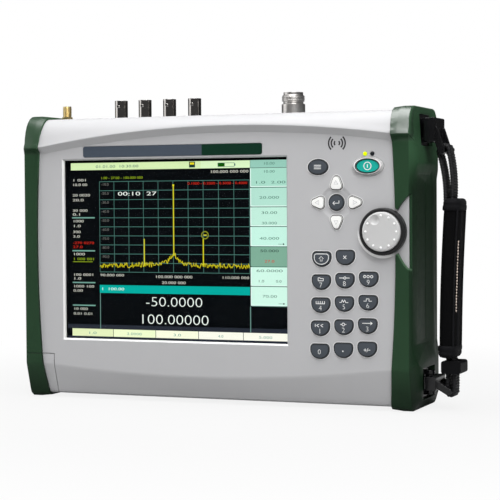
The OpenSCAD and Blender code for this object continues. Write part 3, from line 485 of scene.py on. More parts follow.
class ANALYZER_OT_case(bpy.types.Operator):
    """Finish the case, its bumpers, window and nameplate"""
    bl_idname = "analyzer.case"
    bl_label = "Case"
    WINDOW_HALF = (0.0904, 0.0679)
    NAMEPLATE_SPLIT = -0.0053
    # Heights on the bumpers: where the painted shade at the bottom, the painted light and shade of the right shoulder
    # and the caps begin and end, and the two caps' feet
    DIRT_Z, SHOULDER_Z, CAP_Z, LEDGE_Z = (0.004, 0.034), (0.152, 0.18), (0.184, 0.190), (0.1815, 0.1863)

    def execute(self, context):
        c = context.scene.analyzer_colours
        satin = {"colour": tuple(c.bezel), "grain": 0.0005, "relief": 0.00001, "mottle": 0.04, "wear": 0.3,
                 "radius": 0.0007}
        dress(["front_bezel"], moulded("bezel_satin", **satin, paint_over=self.bevel, form=self.dish))
        dress(["battery_door"], moulded("door_satin", **satin, paint_over=self.seam))
        dress(["rear_housing", "tilt_bail"],
              moulded("housing_texture", paint("96989b"), 0.58, 0.0008, 0.00004, 0.06, 0.3))
        rubber = {"colour": tuple(c.bumper), "rough": 0.36, "grain": 0.0007, "relief": 0.00003, "mottle": 0.25,
                  "wear": 0.6, "worn": tuple(1.6 * v + 0.02 for v in c.bumper), "radius": 0.0009, "shine": 0.12}
        # The rubber carries painted light and shade: darker lower ends, a pale lip below the knob and a paler right
        # shoulder.
        dress(["left_bumper", "right_bumper"], moulded("bumper_rubber", **rubber, paint_over=self.painted_light_and_shade,
                                                       form=self.ledge, polish=self.rubbed))
        dress(["battery_door_bumper"], moulded("door_rubber", **rubber,
                                               paint_over=lambda f, base: self.seam(f, self.painted_light_and_shade(f, base))))
        dress(["nameplate"], halved("nameplate_film", paint("47505c"), paint("063020"),
                                    CASE_X + self.NAMEPLATE_SPLIT, 0.4))
        dress(["connector_panel"], moulded("panel_paint", paint("8d9093"), 0.5, 0.0009, 0.00002, 0.06, 0.4))
        dress(["display_gasket"], moulded("gasket_rubber", (0.006, 0.006, 0.007), 0.8, shine=0.05))
        dress(["lcd_module"], moulded("display_face", (0.001, 0.002, 0.003), 0.5, 0.0004, 0.000002, 0.2, 0.1,
                                      shine=0.03))
        dress(["case_screws"], metal("screw_steel", (0.5, 0.5, 0.5), 0.35))
        dress(["bail_brackets", "speaker", "fan_frame", "fan_rotor", "battery_pack"],
              moulded("black_moulding", (0.016, 0.016, 0.018), 0.55))
        f = Finish("window_clear")
        smear = f.noise(0.02, 4)
        dress(["display_window"], f.surface({
            "Base Color": (0.02, 0.022, 0.025), "Roughness": 0.06 + 0.08 * smear,
            "Alpha": 0.03 + 0.02 * smear, "Normal": f.bump(f.noise(0.05), 0.00001),
            "Specular IOR Level": 0.05}))
        return {"FINISHED"}

    def sides(self, f, left, right):
        """One value on the left bumper and another on the right one."""
        return f.fit(f.axis("X"), -0.05, 0.05, left, right)

    def bevel(self, f, base):
        """Painted highlights: pale colour on the left and lower bevels of the window and on the lower left of the
        knob's seat.
        """
        across, up = (f.fit(f.size(f.axis(letter) - place), half, half + 0.0006, 1, 0)
                      for letter, place, half in zip("XZ", (SCREEN_X, SCREEN_Z), self.WINDOW_HALF))
        # Painted highlight: the window's left and lower bevels, where they face up and to the right, are painted near
        # white.
        base = f.mix(across * up * f.fit(f.toward((0.7, 0, 0.7)), 0.15, 0.3), base, (0.93, 0.93, 0.93))
        x, _, z = middle("knob_skirt")
        lower = f.fit(0.7 * (f.axis("X") - x) + 1.2 * (f.axis("Z") - z), -0.019, -0.010, 1, 0)
        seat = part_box("knob_skirt")[1].x - x + 0.0014
        away = f.fit(f.reach(x - 0.0013, z - 0.0004), seat, seat + 0.0006, 1, 0)
        # Painted highlight: a pale crescent painted on the lower left of the knob's seat.
        return f.mix(lower * away, base, (0.95, 0.95, 0.95))

    def dish(self, f):
        """Rim of the dish round the enter key."""
        x, _, z = middle("key_enter")
        return f.fit(f.reach(x, z), 0.0092, 0.0122), 0.0006

    def seam(self, f, base):
        """Painted shade: a dark line painted along the door's edges, for the shade in the gap round the battery door.
        """
        return f.mix(0.85 * f.edges(0.0007)[1], base, (0.012, 0.014, 0.013))

    def painted_light_and_shade(self, f, base):
        """Painted light and shade: the lower ends painted darker, the lip below the knob painted paler as a
        highlight, and the right side painted paler at the shoulder and darker below it.
        """
        x, _, z = middle("knob_skirt")
        # Painted highlight: the up-facing lip below the knob is painted pale green.
        near = f.fit(f.reach(x, z), 0.031, 0.036, 1, 0) * f.fit(f.axis("Z") - z, -0.012, -0.006, 1, 0)
        lip = f.fit(f.toward((0, 0, 1), f.edges(0.0018)[0]), 0.06, 0.3)
        base = f.mix(near * lip, base, (0.11, 0.21, 0.12))
        # Painted light and shade: the side that faces right is painted paler at the shoulder and darker below it.
        outer = f.fit(f.toward((1, 0, 0)), 0.4, 0.85)
        base = f.tint(base, 1 + outer * f.fit(f.axis("Z"), *self.SHOULDER_Z, -0.35, 0.9))
        # Painted shade: unevenly darker towards the bottom ends.
        return f.tint(base, 1 - (0.3 + 0.4 * f.noise(0.02, 3)) * f.fit(f.axis("Z"), *self.DIRT_Z, 1, 0))

    def rubbed(self, f):
        """Front slope of the top caps, polished by handling."""
        slope = f.fit(f.toward((0.35, -0.5, 0.79)), 0.3, 0.85, 0, self.sides(f, 0.45, 1))
        return slope * f.fit(f.axis("Z"), *self.CAP_Z)

    def ledge(self, f):
        """Step below the top cap of each bumper."""
        front = f.fit(f.size(f.axis("X") - CASE_X), 0.1500, 0.1526, 1, 0)
        return f.fit(f.axis("Z") - self.sides(f, *self.LEDGE_Z), 0.0, 0.0052) * front, 0.003


class ANALYZER_OT_inside(bpy.types.Operator):
    """Finish the boards, the module and the encoder inside"""
    bl_idname = "analyzer.inside"
    bl_label = "Inside"

    def execute(self, context):
        dress(["keypad_board", "main_board"], board("board_lacquer", (0.012, 0.07, 0.03)))
        dress(["rf_module"], metal("shield_sheet", (0.62, 0.63, 0.64), 0.4, (1, 40, 1)))
        dress(["encoder_body", "encoder_shaft"], metal("encoder_steel", (0.55, 0.55, 0.55), 0.3))
        return {"FINISHED"}


class ANALYZER_OT_display(bpy.types.Operator):
    """Draw the picture on the display"""
    bl_idname = "analyzer.display"
    bl_label = "Display picture"
    DEPTH = 5.15
    TONES = {"top": "d8f1b6", "top_end": "def9c8", "title": "97ccbb", "cell_1": "a9ddca", "cell_2": "b4e3d2",
             "cell_3": "c3efdd", "cell_4": "c7f5e4", "chosen": "80ae98", "cell_5": "d2fae9", "edge": "e6fff6",
             "teal": "00ab9f", "menu_1": "e5f1be", "menu_2": "f1fdcf", "menu_3": "fbfee2", "menu_4": "fdfdee",
             "sheen": "282d37", "grid": "4d7f75", "rule": "76a99b", "line": "6f9a92", "trace": "e8dc1c",
             "peak": "cfc81e", "ring": "8b9020", "text": "d8d8cc", "dim": "6e6e6a", "red": "d02a18",
             "green": "94b01c", "white": "f2fbf4", "mark": "4d7a6c", "ink": "1d3a34", "sign": "0d5503"}

    def execute(self, context):
        s = Sheet()
        self.bars(s)
        self.graph(s, random.Random(context.scene.analyzer_sizes.seed))
        self.numbers(s)
        s.lay("display_picture", lambda x, lift, z: (PICTURE_X + x / 1000, PANEL_Y + (self.DEPTH - lift) / 1000,
                                                     SCREEN_Z + z / 1000),
              "case", "display_black", [glow("screen_" + n, paint(self.TONES[n])) for n in s.colours])
        return {"FINISHED"}

    def bars(self, s):
        """Bars and cells at the rim of the picture."""
        s.rect(-85.9, 20.0, 59.0, 64.3, "top")
        s.rect(20.0, 58.4, 59.0, 64.3, "top_end")
        s.rect(58.6, 87.6, 59.0, 64.4, "title")
        high = 58.7
        for low, tone in ((45.2, "cell_1"), (31.3, "cell_2"), (17.3, "cell_3"), (3.0, "cell_4"), (-11.4, "chosen"),
                          (-25.4, "cell_5"), (-39.6, "cell_5")):
            s.rect(58.5, 87.6, low, high, tone)
            if tone != "chosen":
                s.rect(58.5, 59.2, low, high, "edge", 0.15)
                s.rect(58.5, 87.6, low, low + 0.6, "edge", 0.15)
            s.rect(59.4, 87.6, low - 0.6, low, "mark")
            high = low - 0.6
        edges = [-86.0, -51.6, -16.9, 17.4, 52.5, 87.6]
        for i, tone in enumerate(("menu_1", "menu_2", "menu_3", "menu_4", "menu_4")):
            s.rect(edges[i] + 0.2, edges[i + 1] - 0.2, -64.6, -59.1, tone)
        s.rect(-89.5, 87.6, -58.9, -55.9, "sheen", 0.05)
        s.rect(-89.5, 87.6, -66.4, -64.6, "sheen", 0.05)
        s.rect(-62.5, 57.9, -32.2, -26.3, "teal")
        for z in (23.6, -1.0, -24.7, -41.7):
            s.rect(-85.3, -66.2, z - 0.45, z + 0.45, "rule")
        s.rect(-62.4, -61.9, -58.9, -32.2, "line")
        s.rect(57.9, 58.5, -58.9, -40.2, "line")
        # Storage and battery signs in the top bar
        s.rect(10.9, 15.6, 59.8, 64.0, "ink", 0.15)
        s.rect(11.6, 14.9, 61.9, 63.4, "trace", 0.2)
        s.rect(33.4, 46.5, 60.0, 62.9, "mark", 0.15)
        s.rect(46.5, 47.2, 60.7, 62.2, "mark", 0.15)
        s.rect(33.7, 46.2, 60.3, 62.6, "top_end", 0.2)
        s.rect(33.7, 38.9, 60.2, 62.7, "sign", 0.25)

    def graph(self, s, dice):
        """Grid, noisy trace, peaks and marker."""
        x0, x1, z0, z1 = -62.1, 57.8, -16.6, 50.3
        for i in range(11):
            x = x0 + (x1 - x0) * i / 10
            z = z0 + (z1 - z0) * i / 10
            s.rect(x - 0.17, x + 0.17, z0, z1, "grid")
            s.rect(x0, x1, z - 0.19, z + 0.19, "grid")
        trace, steps, tallest, quiet = [], 320, -1.8, -11.6
        for i in range(steps + 1):
            x = x0 + (x1 - x0) * i / steps
            away = abs(x - tallest)
            trace.append((x, quiet + 3.4 * (dice.random() - 0.5) + 1.6 * (dice.random() - 0.5)
                          + 6.4 * math.exp(-away / 3.2) + 3.4 * math.exp(-away / 13)))
        s.add(ribbon(trace, 0.4), "trace", 0.2)
        for x, low, high in ((tallest, -4.5, 47.4), (-25.6, -12.0, 8.0), (21.7, -12.0, 8.0)):
            s.rect(x - 0.42, x + 0.42, low, high, "peak", 0.2)
        s.rect(-2.5, -1.1, 46.6, 47.7, "trace", 0.25)
        s.add(loop(23.1, 10.8, 2.6, 0.75, 20), "ring", 0.25)
        s.rect(22.0, 24.4, 10.5, 11.2, "trace", 0.25)

    def numbers(self, s):
        """Made-up numbers of the scales, readings and cells."""
        def put(text, x, z, wide, tone="text", align="LEFT", height=1.9, thin=0.0):
            points, faces = numerals(text, height, align, thin)
            across = [p[0] for p in points]
            fit = wide / (max(across) - min(across))
            s.add(([(px * fit, pz) for px, pz in points], faces), tone, 0.3, (x, z))

        def cell(z, text, wide, tone="mark", x=73.0):
            put(text, x, z, wide, tone, "CENTER")

        for i in range(9):
            put("%.1f" % (-10.0 * (i + 1)), -60.7, 47.4 - 6.69 * i, 6.2, "dim")
        put("90.000 000", -62.0, -19.8, 19.5)
        put("100.000 000 000", -2.0, -20.6, 29.0, "text", "CENTER", 2.0)
        put("110.000 000", 57.5, -20.6, 20.5, "text", "RIGHT")
        put("20.000 000", -2.0, -24.9, 19.0, "text", "CENTER", 2.0)
        put("1.00 - 27.00 - 100.000 000", -61.0, 52.2, 34.0, "green", height=1.8)
        put("00:10  27", -47.0, 39.9, 31.5, "white", height=2.9)
        put("0.1000 - 0.2000 - 0.3000 - 0.4000", 56.3, 47.4, 46.5, "red", "RIGHT", 1.8)
        put("-50.0000", -2.0, -41.5, 45.0, "white", "CENTER", 7.4, 0.17)
        put("100.00000", -2.2, -54.5, 53.0, "white", "CENTER", 7.6, 0.17)
        put("1  100.00", -61.3, -30.1, 18.0, "edge", height=2.1)
        put("01.01.00  10:30:00", -65.0, 60.6, 35.0, "mark")
        put("100.000 000 000", 57.4, 55.6, 29.0, "text", "RIGHT", 2.0)
        for z, text, wide, *tone in (
                (50.7, "1 001", 10.2), (47.3, "10.0 00", 11.6), (39.5, "20 0020", 14.6), (35.9, "20.0", 9.2),
                (28.1, "30 000", 12.3), (25.2, "0.1", 6.0), (20.2, "1000", 8.3), (16.6, "1.0", 5.6),
                (12.2, "300", 6.4), (8.8, "3.0", 5.6), (4.0, "-270 0270", 17.6, "red"), (1.0, "27.0", 8.0, "red"),
                (-4.4, "1000", 9.0), (-8.0, "1 000 001", 16.6, "green"), (-19.7, "100 0001", 15.8),
                (-22.6, "1.0", 5.6), (-28.4, "1000 100", 16.6), (-31.6, "0.00", 7.8), (-45.2, "10 000", 11.2),
                (-48.8, "0.01 0.01", 15.5)):
            put(text, -84.7, z, wide, *tone)
        s.rect(-84.7, -68.1, -9.4, -9.0, "green", 0.3)
        for row in (
                (61.0, "10.00", 8.0), (55.3, "10.00", 8.0), (36.8, "20.000", 15.0), (26.0, "30.00", 12.0),
                (18.6, "30.000", 11.5), (7.7, "40.000", 15.0), (-1.2, "50.000", 14.0, "ink"),
                (-8.6, "27.0", 7.5, "red"), (-15.4, "60.0000", 20.0), (-33.6, "70.00", 11.0),
                (47.6, "1.0", 7.0, "mark", 66.0), (47.6, "2.00", 11.0, "mark", 80.0),
                (-22.8, "1.0", 4.0, "mark", 66.5), (-22.8, "0.0", 4.2, "mark", 80.0)):
            cell(*row)
        for z in (4.5, -37.9):
            s.rect(79.8, 83.0, z - 0.15, z + 0.15, "mark", 0.3)
            s.add(loop(83.8, z, 0.3, 0.6, 10), "ink", 0.3)
        for x, text, wide in ((-69.0, "1.0", 6), (-34.3, "2.0000", 12), (0.4, "3.0", 6), (35.0, "4.0", 4),
                              (69.7, "5.000", 10)):
            put(text, x, -63.0, wide, "rule", "CENTER")


class ANALYZER_OT_keys(bpy.types.Operator):
    """Finish the keys and print their legends"""
    bl_idname = "analyzer.keys"
    bl_label = "Keys and legends"
    SIGN_RISE = 2.0

    def execute(self, context):
        c = context.scene.analyzer_colours
        kinds = {kind: ["key_" + k for k in KEYS if key_kind(k) == kind] for kind in KEY_SLOTS}
        dress(kinds["slate"], moulded("key_silicone", tuple(c.keys), 0.5, 0.0006, 0.00001, 0.12, 0.5,
                                      radius=0.0009, shine=0.25))
        dress(kinds["arrow"], moulded("arrow_cap", tuple(c.arrows), 0.4, radius=0.0007))
        dress(kinds["teal"], moulded("power_silicone", tuple(c.power), 0.5, 0.0006, 0.000008, 0.1, radius=0.0008,
                                     shine=0.1))
        dress(["power_ring"], moulded("ring_silver", (0.85, 0.85, 0.85), 0.35, 0.0005, 0.000004, 0.04, 0.3,
                                      radius=0.0006, form=self.dome))
        dress(["indicator_leds"], halved("indicator_lens", paint("c4e000"), paint("10151c"),
                                         middle("indicator_leds").x, 0.25, 0.55))
        self.seams()
        white = ink("legend_white", (0.80, 0.81, 0.80))
        size = context.scene.analyzer_sizes.numeral * 1000
        for key, shapes in self.signs().items():
            if key in DIGITS:
                number = moved(numerals(key, size, thin=0.06), -1.9 if key == "0" else -3.6)
                shapes = [number] + [moved(shape, self.SIGN_RISE) for shape in shapes]
            self.legend(key, shapes, white)
        mark = ink("arrow_mark", (0.9, 0.9, 0.89), 0.3)
        rim = ink("arrow_rim", (0.30, 0.31, 0.32), 0.4)
        for key, turn in ARROWS.items():
            cs, sn = math.cos(math.radians(turn)), math.sin(math.radians(turn))
            head = [(x * cs - z * sn, x * sn + z * cs) for x, z in ((-1.5, -1.2), (1.5, -1.2), (0, 1.5))]
            self.legend(key, [(head, [(0, 1, 2)]), ribbon(head, 0.3, True)], mark, rim)
        return {"FINISHED"}

    def signs(self):
        """Plain signs: above the numbers, and on the keys without one."""
        up = [(-0.7, -1.4), (0.7, -1.4), (0.7, 0.2), (1.7, 0.2), (0, 1.9), (-1.7, 0.2), (-0.7, 0.2)]
        return {
            "7": [outline([(-1.9, -1.0), (-1.9, 1.1), (-0.7, 1.1), (-0.2, 0.6), (1.9, 0.6), (1.9, -1.0)])],
            "8": [line((-3.8, 0), (-0.4, 0)), loop(0.4, 0, 0.8), line((1.2, 0), (3.8, 0))],
            "9": [loop(x, 0, 0.85) for x in (-2.5, 0, 2.5)],
            "4": [line((-3.3, -0.9), (3.3, -0.9))] + [line((x, -0.9), (x, 0.9)) for x in (-3.1, -1.55, 0, 1.55, 3.1)],
            "5": [line((-3.2, -0.9), (-1.9, -0.9), (-1.1, 1.0), (-0.3, -0.9), (0.6, 1.0), (1.4, -0.9), (3.2, -0.9))],
            "6": [line((-3.0, -0.8), (-1.0, -0.8), (-1.0, 0.8), (1.0, 0.8), (1.0, -0.8), (3.0, -0.8))],
            "1": [line((-3.4, -1.0), (-3.4, 1.0)), line((-0.6, 1.0), (-2.4, 0), (-0.6, -1.0)),
                  line((2.4, 1.0), (0.6, 0), (2.4, -1.0))],
            "2": [loop(0, 0, 1.0), line((-2.2, 0), (-1.0, 0)), line((1.0, 0), (2.2, 0))],
            "3": [line((-3.6, 0), (3.4, 0)), line((2.3, 1.0), (3.6, 0), (2.3, -1.0))],
            "0": [],
            "point": [loop(0, -0.5, 0.28, 0.5, 12)],
            "sign": [block(-2.1, -0.1, -0.6, -0.1), block(-1.35, -0.85, -1.35, 0.65), block(1.2, 2.6, -0.6, -0.1),
                     ribbon([(0.1, -1.65), (1.0, 0.95)], 0.4)],
            "menu": [line((-2.6, z), (2.6, z)) for z in (-1.2, 0, 1.2)],
            "enter": [line((2.2, 1.3), (2.2, -0.5), (-2.2, -0.5)),
                      ribbon([(-1.0, 0.7), (-2.3, -0.5), (-1.0, -1.7)], 0.5)],
            "esc": [ribbon([(-1.1, -0.9), (1.1, 1.3)], 0.5), ribbon([(-1.1, 1.3), (1.1, -0.9)], 0.5)],
            "shift": [ribbon(up, 0.4, True), outline(self.shield(10.5, 7.2))],
            "power": [loop(0, 0, 2.6, 0.6, 30), line((0, -1.2), (0, 1.2), width=0.6)]}

    def seams(self):
        """Painted shade and highlight round each key: a dark rim painted on the key, a dark band painted on the panel
        for the shade in the gap, and a pale band beyond it as a painted highlight.
        """
        s = Sheet()
        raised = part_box("power_ring")[0].y - PANEL_Y
        dark = {"arrow": ink("arrow_painted_shade", (0.07, 0.065, 0.06), 0.5),
                "slate": ink("key_painted_shade", (0.008, 0.009, 0.01), 0.5),
                "teal": ink("power_painted_shade", (0.003, 0.02, 0.018), 0.5)}
        for key in KEYS:
            kind = key_kind(key)
            flat = [(v.co.x, v.co.z) for v in NODES["key_" + key].data.vertices if v.co.y < PANEL_Y - 0.0002]
            rim = [Vector(p) for p in dense([1000 * Vector(flat[i]) for i in geometry.convex_hull_2d(flat)], True)]
            rim = [p / 1000 for p, q in zip(rim, rim[1:] + rim[:1]) if (p - q).length > 0.05]
            count = len(rim)
            faces = [(i, (i + 1) % count, count + (i + 1) % count, count + i) for i in range(count)]
            lift = raised if kind == "teal" else 0
            # Painted shade in the gap, then a painted highlight on the panel's edge; the raised power key takes the
            # painted shade only.
            for start, end, tone in ((0.05, 0.5, "gap"), (0.5, 1.05, "edge"))[:1 if lift else 2]:
                s.add((self.grown(rim, start) + self.grown(rim, end), faces), tone, lift - 0.00004)
            x, _, z = middle("key_" + key)
            # Painted shade: a dark rim on the key's own crown, along its edge.
            rings = self.grown(rim, -0.06) + self.grown(rim, -0.35 if kind == "arrow" else -0.5)
            shape = [(1000 * (p - x), 1000 * (q - z)) for p, q in rings]
            self.legend(key, [(shape, faces)], dark[kind], title="rim_")
        tones = {"gap": ink("key_gap", (0.010, 0.010, 0.011), 0.7), "edge": ink("key_edge_painted_highlight", (0.72, 0.72, 0.72), 0.5)}
        s.lay("key_seams", lambda x, y, z: (x, PANEL_Y + y, z), "case", "bezel_grey", [tones[n] for n in s.colours])

    def grown(self, rim, by):
        """Closed outline moved outward by millimetres."""
        heart = sum(rim, Vector((0, 0))) / len(rim)
        out = []
        for i, p in enumerate(rim):
            run = (rim[(i + 1) % len(rim)] - rim[i - 1]).normalized()
            side = Vector((run.y, -run.x))
            out.append(tuple(p + (side if side.dot(p - heart) > 0 else -side) * (by / 1000)))
        return out

    def dome(self, f):
        """Rounded outer face of the oval ring."""
        x, _, z = middle("power_ring")
        return f.fit(f.reach(x, z, 1.7), 0.0092, 0.0113, 1, 0), 0.0018

    def shield(self, w, h):
        """Outline with a round foot and rounded upper corners."""
        a, b, r = w / 2, 0.62 * h, 0.25 * h
        foot = [(a * x, b - h / 2 + b * z) for x, z in arc(0, 0, 1, 180, 360, 18)]
        return foot + arc(a - r, h / 2 - r, r, 0, 90, 5) + arc(-a + r, h / 2 - r, r, 90, 180, 5)

    def legend(self, key, shapes, material, second=None, title="legend_"):
        """Prints flat shapes on the crown of a key, those after the first in a second ink if there is one."""
        mesh = NODES["key_" + key].data
        tree = BVHTree.FromPolygons([v.co for v in mesh.vertices], [p.vertices for p in mesh.polygons])
        front = min(v.co.y for v in mesh.vertices)
        heart = middle("key_" + key)
        above = 0.00005 if second else 0.00006

        def put(x, _, z):
            start = Vector((heart.x + x / 1000, front - 0.01, heart.z + z / 1000))
            hit = tree.ray_cast(start, Vector((0, 1, 0)))[0]
            if hit is None:
                raise RuntimeError("legend of %s runs off its key" % key)
            return start.x, hit.y - above, start.z

        s = Sheet()
        for i, shape in enumerate(shapes):
            s.add(shape, "second" if second and i else "first")
        s.lay(title + key, put, key + "_key", KEY_SLOTS[key_kind(key)], [material] + ([second] if second else []))


class ANALYZER_OT_knob(bpy.types.Operator):
    """Finish the knob"""
    bl_idname = "analyzer.knob"
    bl_label = "Knob"

    def execute(self, context):
        dress(["knob_cap"], moulded("knob_satin", (0.55, 0.55, 0.55), 0.42, 0.0005, 0.00001, 0.05, 0.8,
                                    (0.85, 0.85, 0.85), 0.0006, paint_over=self.dots))
        dress(["knob_skirt"], moulded("knob_skirt_black", (0.014, 0.014, 0.015), 0.45, shine=0.3))
        return {"FINISHED"}

    def dots(self, f, base):
        """White tips of the raised dots."""
        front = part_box("knob_cap")[0].y
        return f.mix(f.fit(f.axis("Y"), front + 0.00035, front + 0.00047, 1, 0), base, (0.95, 0.95, 0.95))


class ANALYZER_OT_panel_sign(bpy.types.Operator):
    """Print the wave sign above the keys"""
    bl_idname = "analyzer.panel_sign"
    bl_label = "Panel sign"
    PLACE = (97.2, 185.8)

    def execute(self, context):
        s = Sheet()
        for r in (1.9, 4.1, 6.1):
            for turn in (0, 180):
                s.add(ribbon(arc(0, 0, r, turn - 46, turn + 46, 16), 1.1), "ink", -0.03, self.PLACE)
        s.lay("wave_sign", lambda x, y, z: (CASE_X + x / 1000, PANEL_Y + y / 1000, z / 1000), "case", "bezel_grey",
              [ink("sign_ink", (0.02, 0.02, 0.022))])
        return {"FINISHED"}


class ANALYZER_OT_connectors(bpy.types.Operator):
    """Finish the connectors and cut their threads"""
    bl_idname = "analyzer.connectors"
    bl_label = "Connectors"

    def execute(self, context):
        nickel = metal("nickel_plate", (0.68, 0.66, 0.64), 0.34)
        gold = metal("gold_plate", (0.90, 0.72, 0.36), 0.3)
        dress(["bnc_connectors"], metal("dark_nickel", (0.50, 0.48, 0.46), 0.08))
        dress(["rf_connector", "connector_nuts"], nickel)
        dress(["antenna_connector"], gold)
        self.thread("rf_thread", "rf_connector", 0.0064, 0.0026, 0.00795, 0.00105, nickel, "nickel")
        self.thread("antenna_thread", "antenna_connector", 0.0078, 0.0006, 0.0031, 0.0007, gold, "gold")
        return {"FINISHED"}

    def thread(self, name, node, start, end, radius, pitch, material, slot):
        """Helical ridge on the outside of a connector, between two depths below its top."""
        x, y, _ = middle(node)
        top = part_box(node)[1].z
        low, high = top - start, top - end
        rounds = (high - low) / pitch
        steps, height, root = int(rounds * 40), 0.45 * pitch, -0.1
        verts = []
        for i in range(steps + 1):
            a = 2 * math.pi * rounds * i / steps
            z = low + (high - low) * i / steps
            fade = min(1, i / 20, (steps - i) / 20)
            for rise, out in ((-0.42, root), (-0.12, fade or root), (0.12, fade or root), (0.42, root)):
                r = radius - 0.00005 + height * out
                verts.append((x + r * math.cos(a), y + r * math.sin(a), z + rise * pitch))
        faces = [(a, a + 4, a + 5, a + 1) for i in range(steps) for a in range(4 * i, 4 * i + 3)]
        piece(name, verts, faces, "case", slot, [material], None, False)


class ANALYZER_OT_strap(bpy.types.Operator):
    """Sew the hand strap: ribbed webbing, padded sleeve, bindings and stitches"""
    bl_idname = "analyzer.strap"
    bl_label = "Hand strap"
    # Degrees round the sleeve, and millimetres of the sleeve and of the webbing
    SEAMS = (-52.5, -15, 15, 52.5)
    STITCHED = math.radians(-33)
    SLEEVE_X, SLEEVE_FOOT, SLEEVE_LENGTH, SLEEVE_HALF = 170.8, 36, 111, (6.8, 12.5)
    SLEEVE_LEAN, SLEEVE_BOW = 4.0, 0.9
    BAND_TURN, BAND_GAP, BAND_WIDTH, BAND_THICK, BAND_INSET = 3.2, 1.6, 12.5, 3.6, 0.6
    # The cloth's pressure and frames, and the most that it may move in metres
    PRESSURE, FRAMES, SWELLING = 6, 20, 0.0012

    def execute(self, context):
        c, sizes = context.scene.analyzer_colours, context.scene.analyzer_sizes
        dress(["strap_lugs", "strap_upper_link", "strap_lower_link"],
              moulded("strap_moulding", (0.004, 0.004, 0.005), 0.22, 0.0006, 0.000006, 0.2, 0.3, (0.06, 0.06, 0.06),
                      0.0007, 0.5))
        dress(["strap_buckle"], moulded("buckle_moulding", (0.004, 0.004, 0.005), 0.5, shine=0.12))
        web = woven("webbing_nylon", c.strap, 0.9, 0.0009, 0.5, 0.3)
        self.webbing("webbing_upper", (165.9, 180.0), (169.2, 143.0), 1, (2.0, -0.8), -1.0, web, sizes.rib,
                     "strap_upper_webbing")
        self.webbing("webbing_lower", (170.2, 12.5), (169.6, 37.0), -1, (3.0, 0.0), -4.0, web, sizes.rib,
                     "strap_lower_webbing")
        self.cover(context, woven("pad_cover", c.strap, 0.25, 0.0007, 0.8))
        self.cuffs(woven("pad_cuff", c.strap, 0.8, 0.0011, 0.7))
        self.piping(woven("pad_piping", c.strap, 0.9, 0.0008, 0.6))
        self.stitches(ink("pad_thread", tuple(c.thread), 0.7), sizes.stitch)
        return {"FINISHED"}

    def webbing(self, name, bar, foot, way, bulge, rise, material, rib, node):
        """Ribbed band from the pad, round the bar and back."""
        r, gap = self.BAND_TURN, self.BAND_GAP
        bx, bz, fx, fz = bar[0], bar[1] * way, foot[0], foot[1] * way + rise
        half = (bz + foot[1] * way) / 2

        def bend(*ends):
            return [tuple((1 - t) ** 2 * p + 2 * t * (1 - t) * q + t * t * s for p, q, s in zip(*ends))
                    for t in [i / 24 for i in range(25)]]

        run = bend((fx + gap, fz), (fx + gap + bulge[0], half), (bx + 0.94 * r, bz - 0.34 * r))
        run += arc(bx, bz, r, 10, 170, 20)
        run += bend((bx - 0.94 * r, bz - 0.34 * r), (fx - gap - bulge[1], half), (fx - gap, fz))
        run = [Vector((x, z * way)) for x, z in run]
        per_rib, around = 6, 16
        path, gone, step = [run[0]], 0.0, rib * 1000 / per_rib
        for a, b in zip(run, run[1:]):
            length = (b - a).length
            while gone + length >= step * len(path):
                path.append(a.lerp(b, (step * len(path) - gone) / length))
            gone += length
        verts, last = [], len(path) - 1
        for i, p in enumerate(path):
            ahead = (path[min(i + 1, last)] - path[max(i - 1, 0)]).normalized()
            side = Vector((-ahead.y, ahead.x))
            swell = abs(math.sin(math.pi * i / per_rib))
            for u in turns(around):
                across = self.BAND_WIDTH / 2 * squarish(math.cos(u), 0.35) * (0.975 + 0.025 * swell)
                out = self.BAND_THICK / 2 * squarish(math.sin(u), 0.7) * (0.7 + 0.32 * swell)
                q = p + side * (out - self.BAND_INSET)
                verts.append((CASE_X + q.x / 1000, STRAP_Y + across / 1000, q.y / 1000))
        faces = self.tube(last + 1, around)
        faces += [tuple(range(around)), tuple(reversed(range(last * around, (last + 1) * around)))]
        obj = piece(name, verts, faces, "hand_strap", "webbing_black", [material])
        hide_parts(node)

    def ring(self, t, u, grow=0.0):
        """Point on the padded sleeve at a place along and around it."""
        span = abs(2 * t - 1)
        x = self.SLEEVE_X + self.SLEEVE_LEAN * (t - 0.5) - self.SLEEVE_BOW * (1 - span ** 2)
        k = min(1, 0.62 + 0.38 * math.sqrt(max(0, 1 - span ** 14)))
        a, b = self.SLEEVE_HALF[0] * k + grow, self.SLEEVE_HALF[1] * min(1, k + 0.12) + grow
        return Vector((CASE_X + (x + a * squarish(math.cos(u), 0.62)) / 1000,
                       STRAP_Y + b * squarish(math.sin(u), 0.62) / 1000,
                       (self.SLEEVE_FOOT + self.SLEEVE_LENGTH * t) / 1000))

    def tube(self, rows, around, base=0):
        """Faces of a closed-round tube of point rows."""
        corners = ((0, 0), (0, 1), (1, 1), (1, 0))
        return [tuple(base + (i + a) * around + (k + b) % around for a, b in corners)
                for i in range(rows - 1) for k in range(around)]

    def cover(self, context, material):
        """Padded sleeve, blown up as cloth between its seams and its bound ends."""
        along, around, bound = 60, 48, 5
        verts = [self.ring(i / along, u, -0.6) for i in range(along + 1) for u in turns(around)]
        faces = self.tube(along + 1, around)
        faces += [tuple(reversed(range(around))), tuple(range(along * around, (along + 1) * around))]
        obj = piece("pad_cover", verts, faces, "hand_strap", "pad_black", [material])
        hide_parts("strap_pad")
        seams = [round(a / (360 / around)) % around for a in self.SEAMS]
        held = [i * around + k for i in range(along + 1) for k in range(around)
                if i < bound or i > along - bound or k in seams]
        self.inflate(context.scene, obj, held)
        obj.modifiers.new("round", "SUBSURF").levels = 1

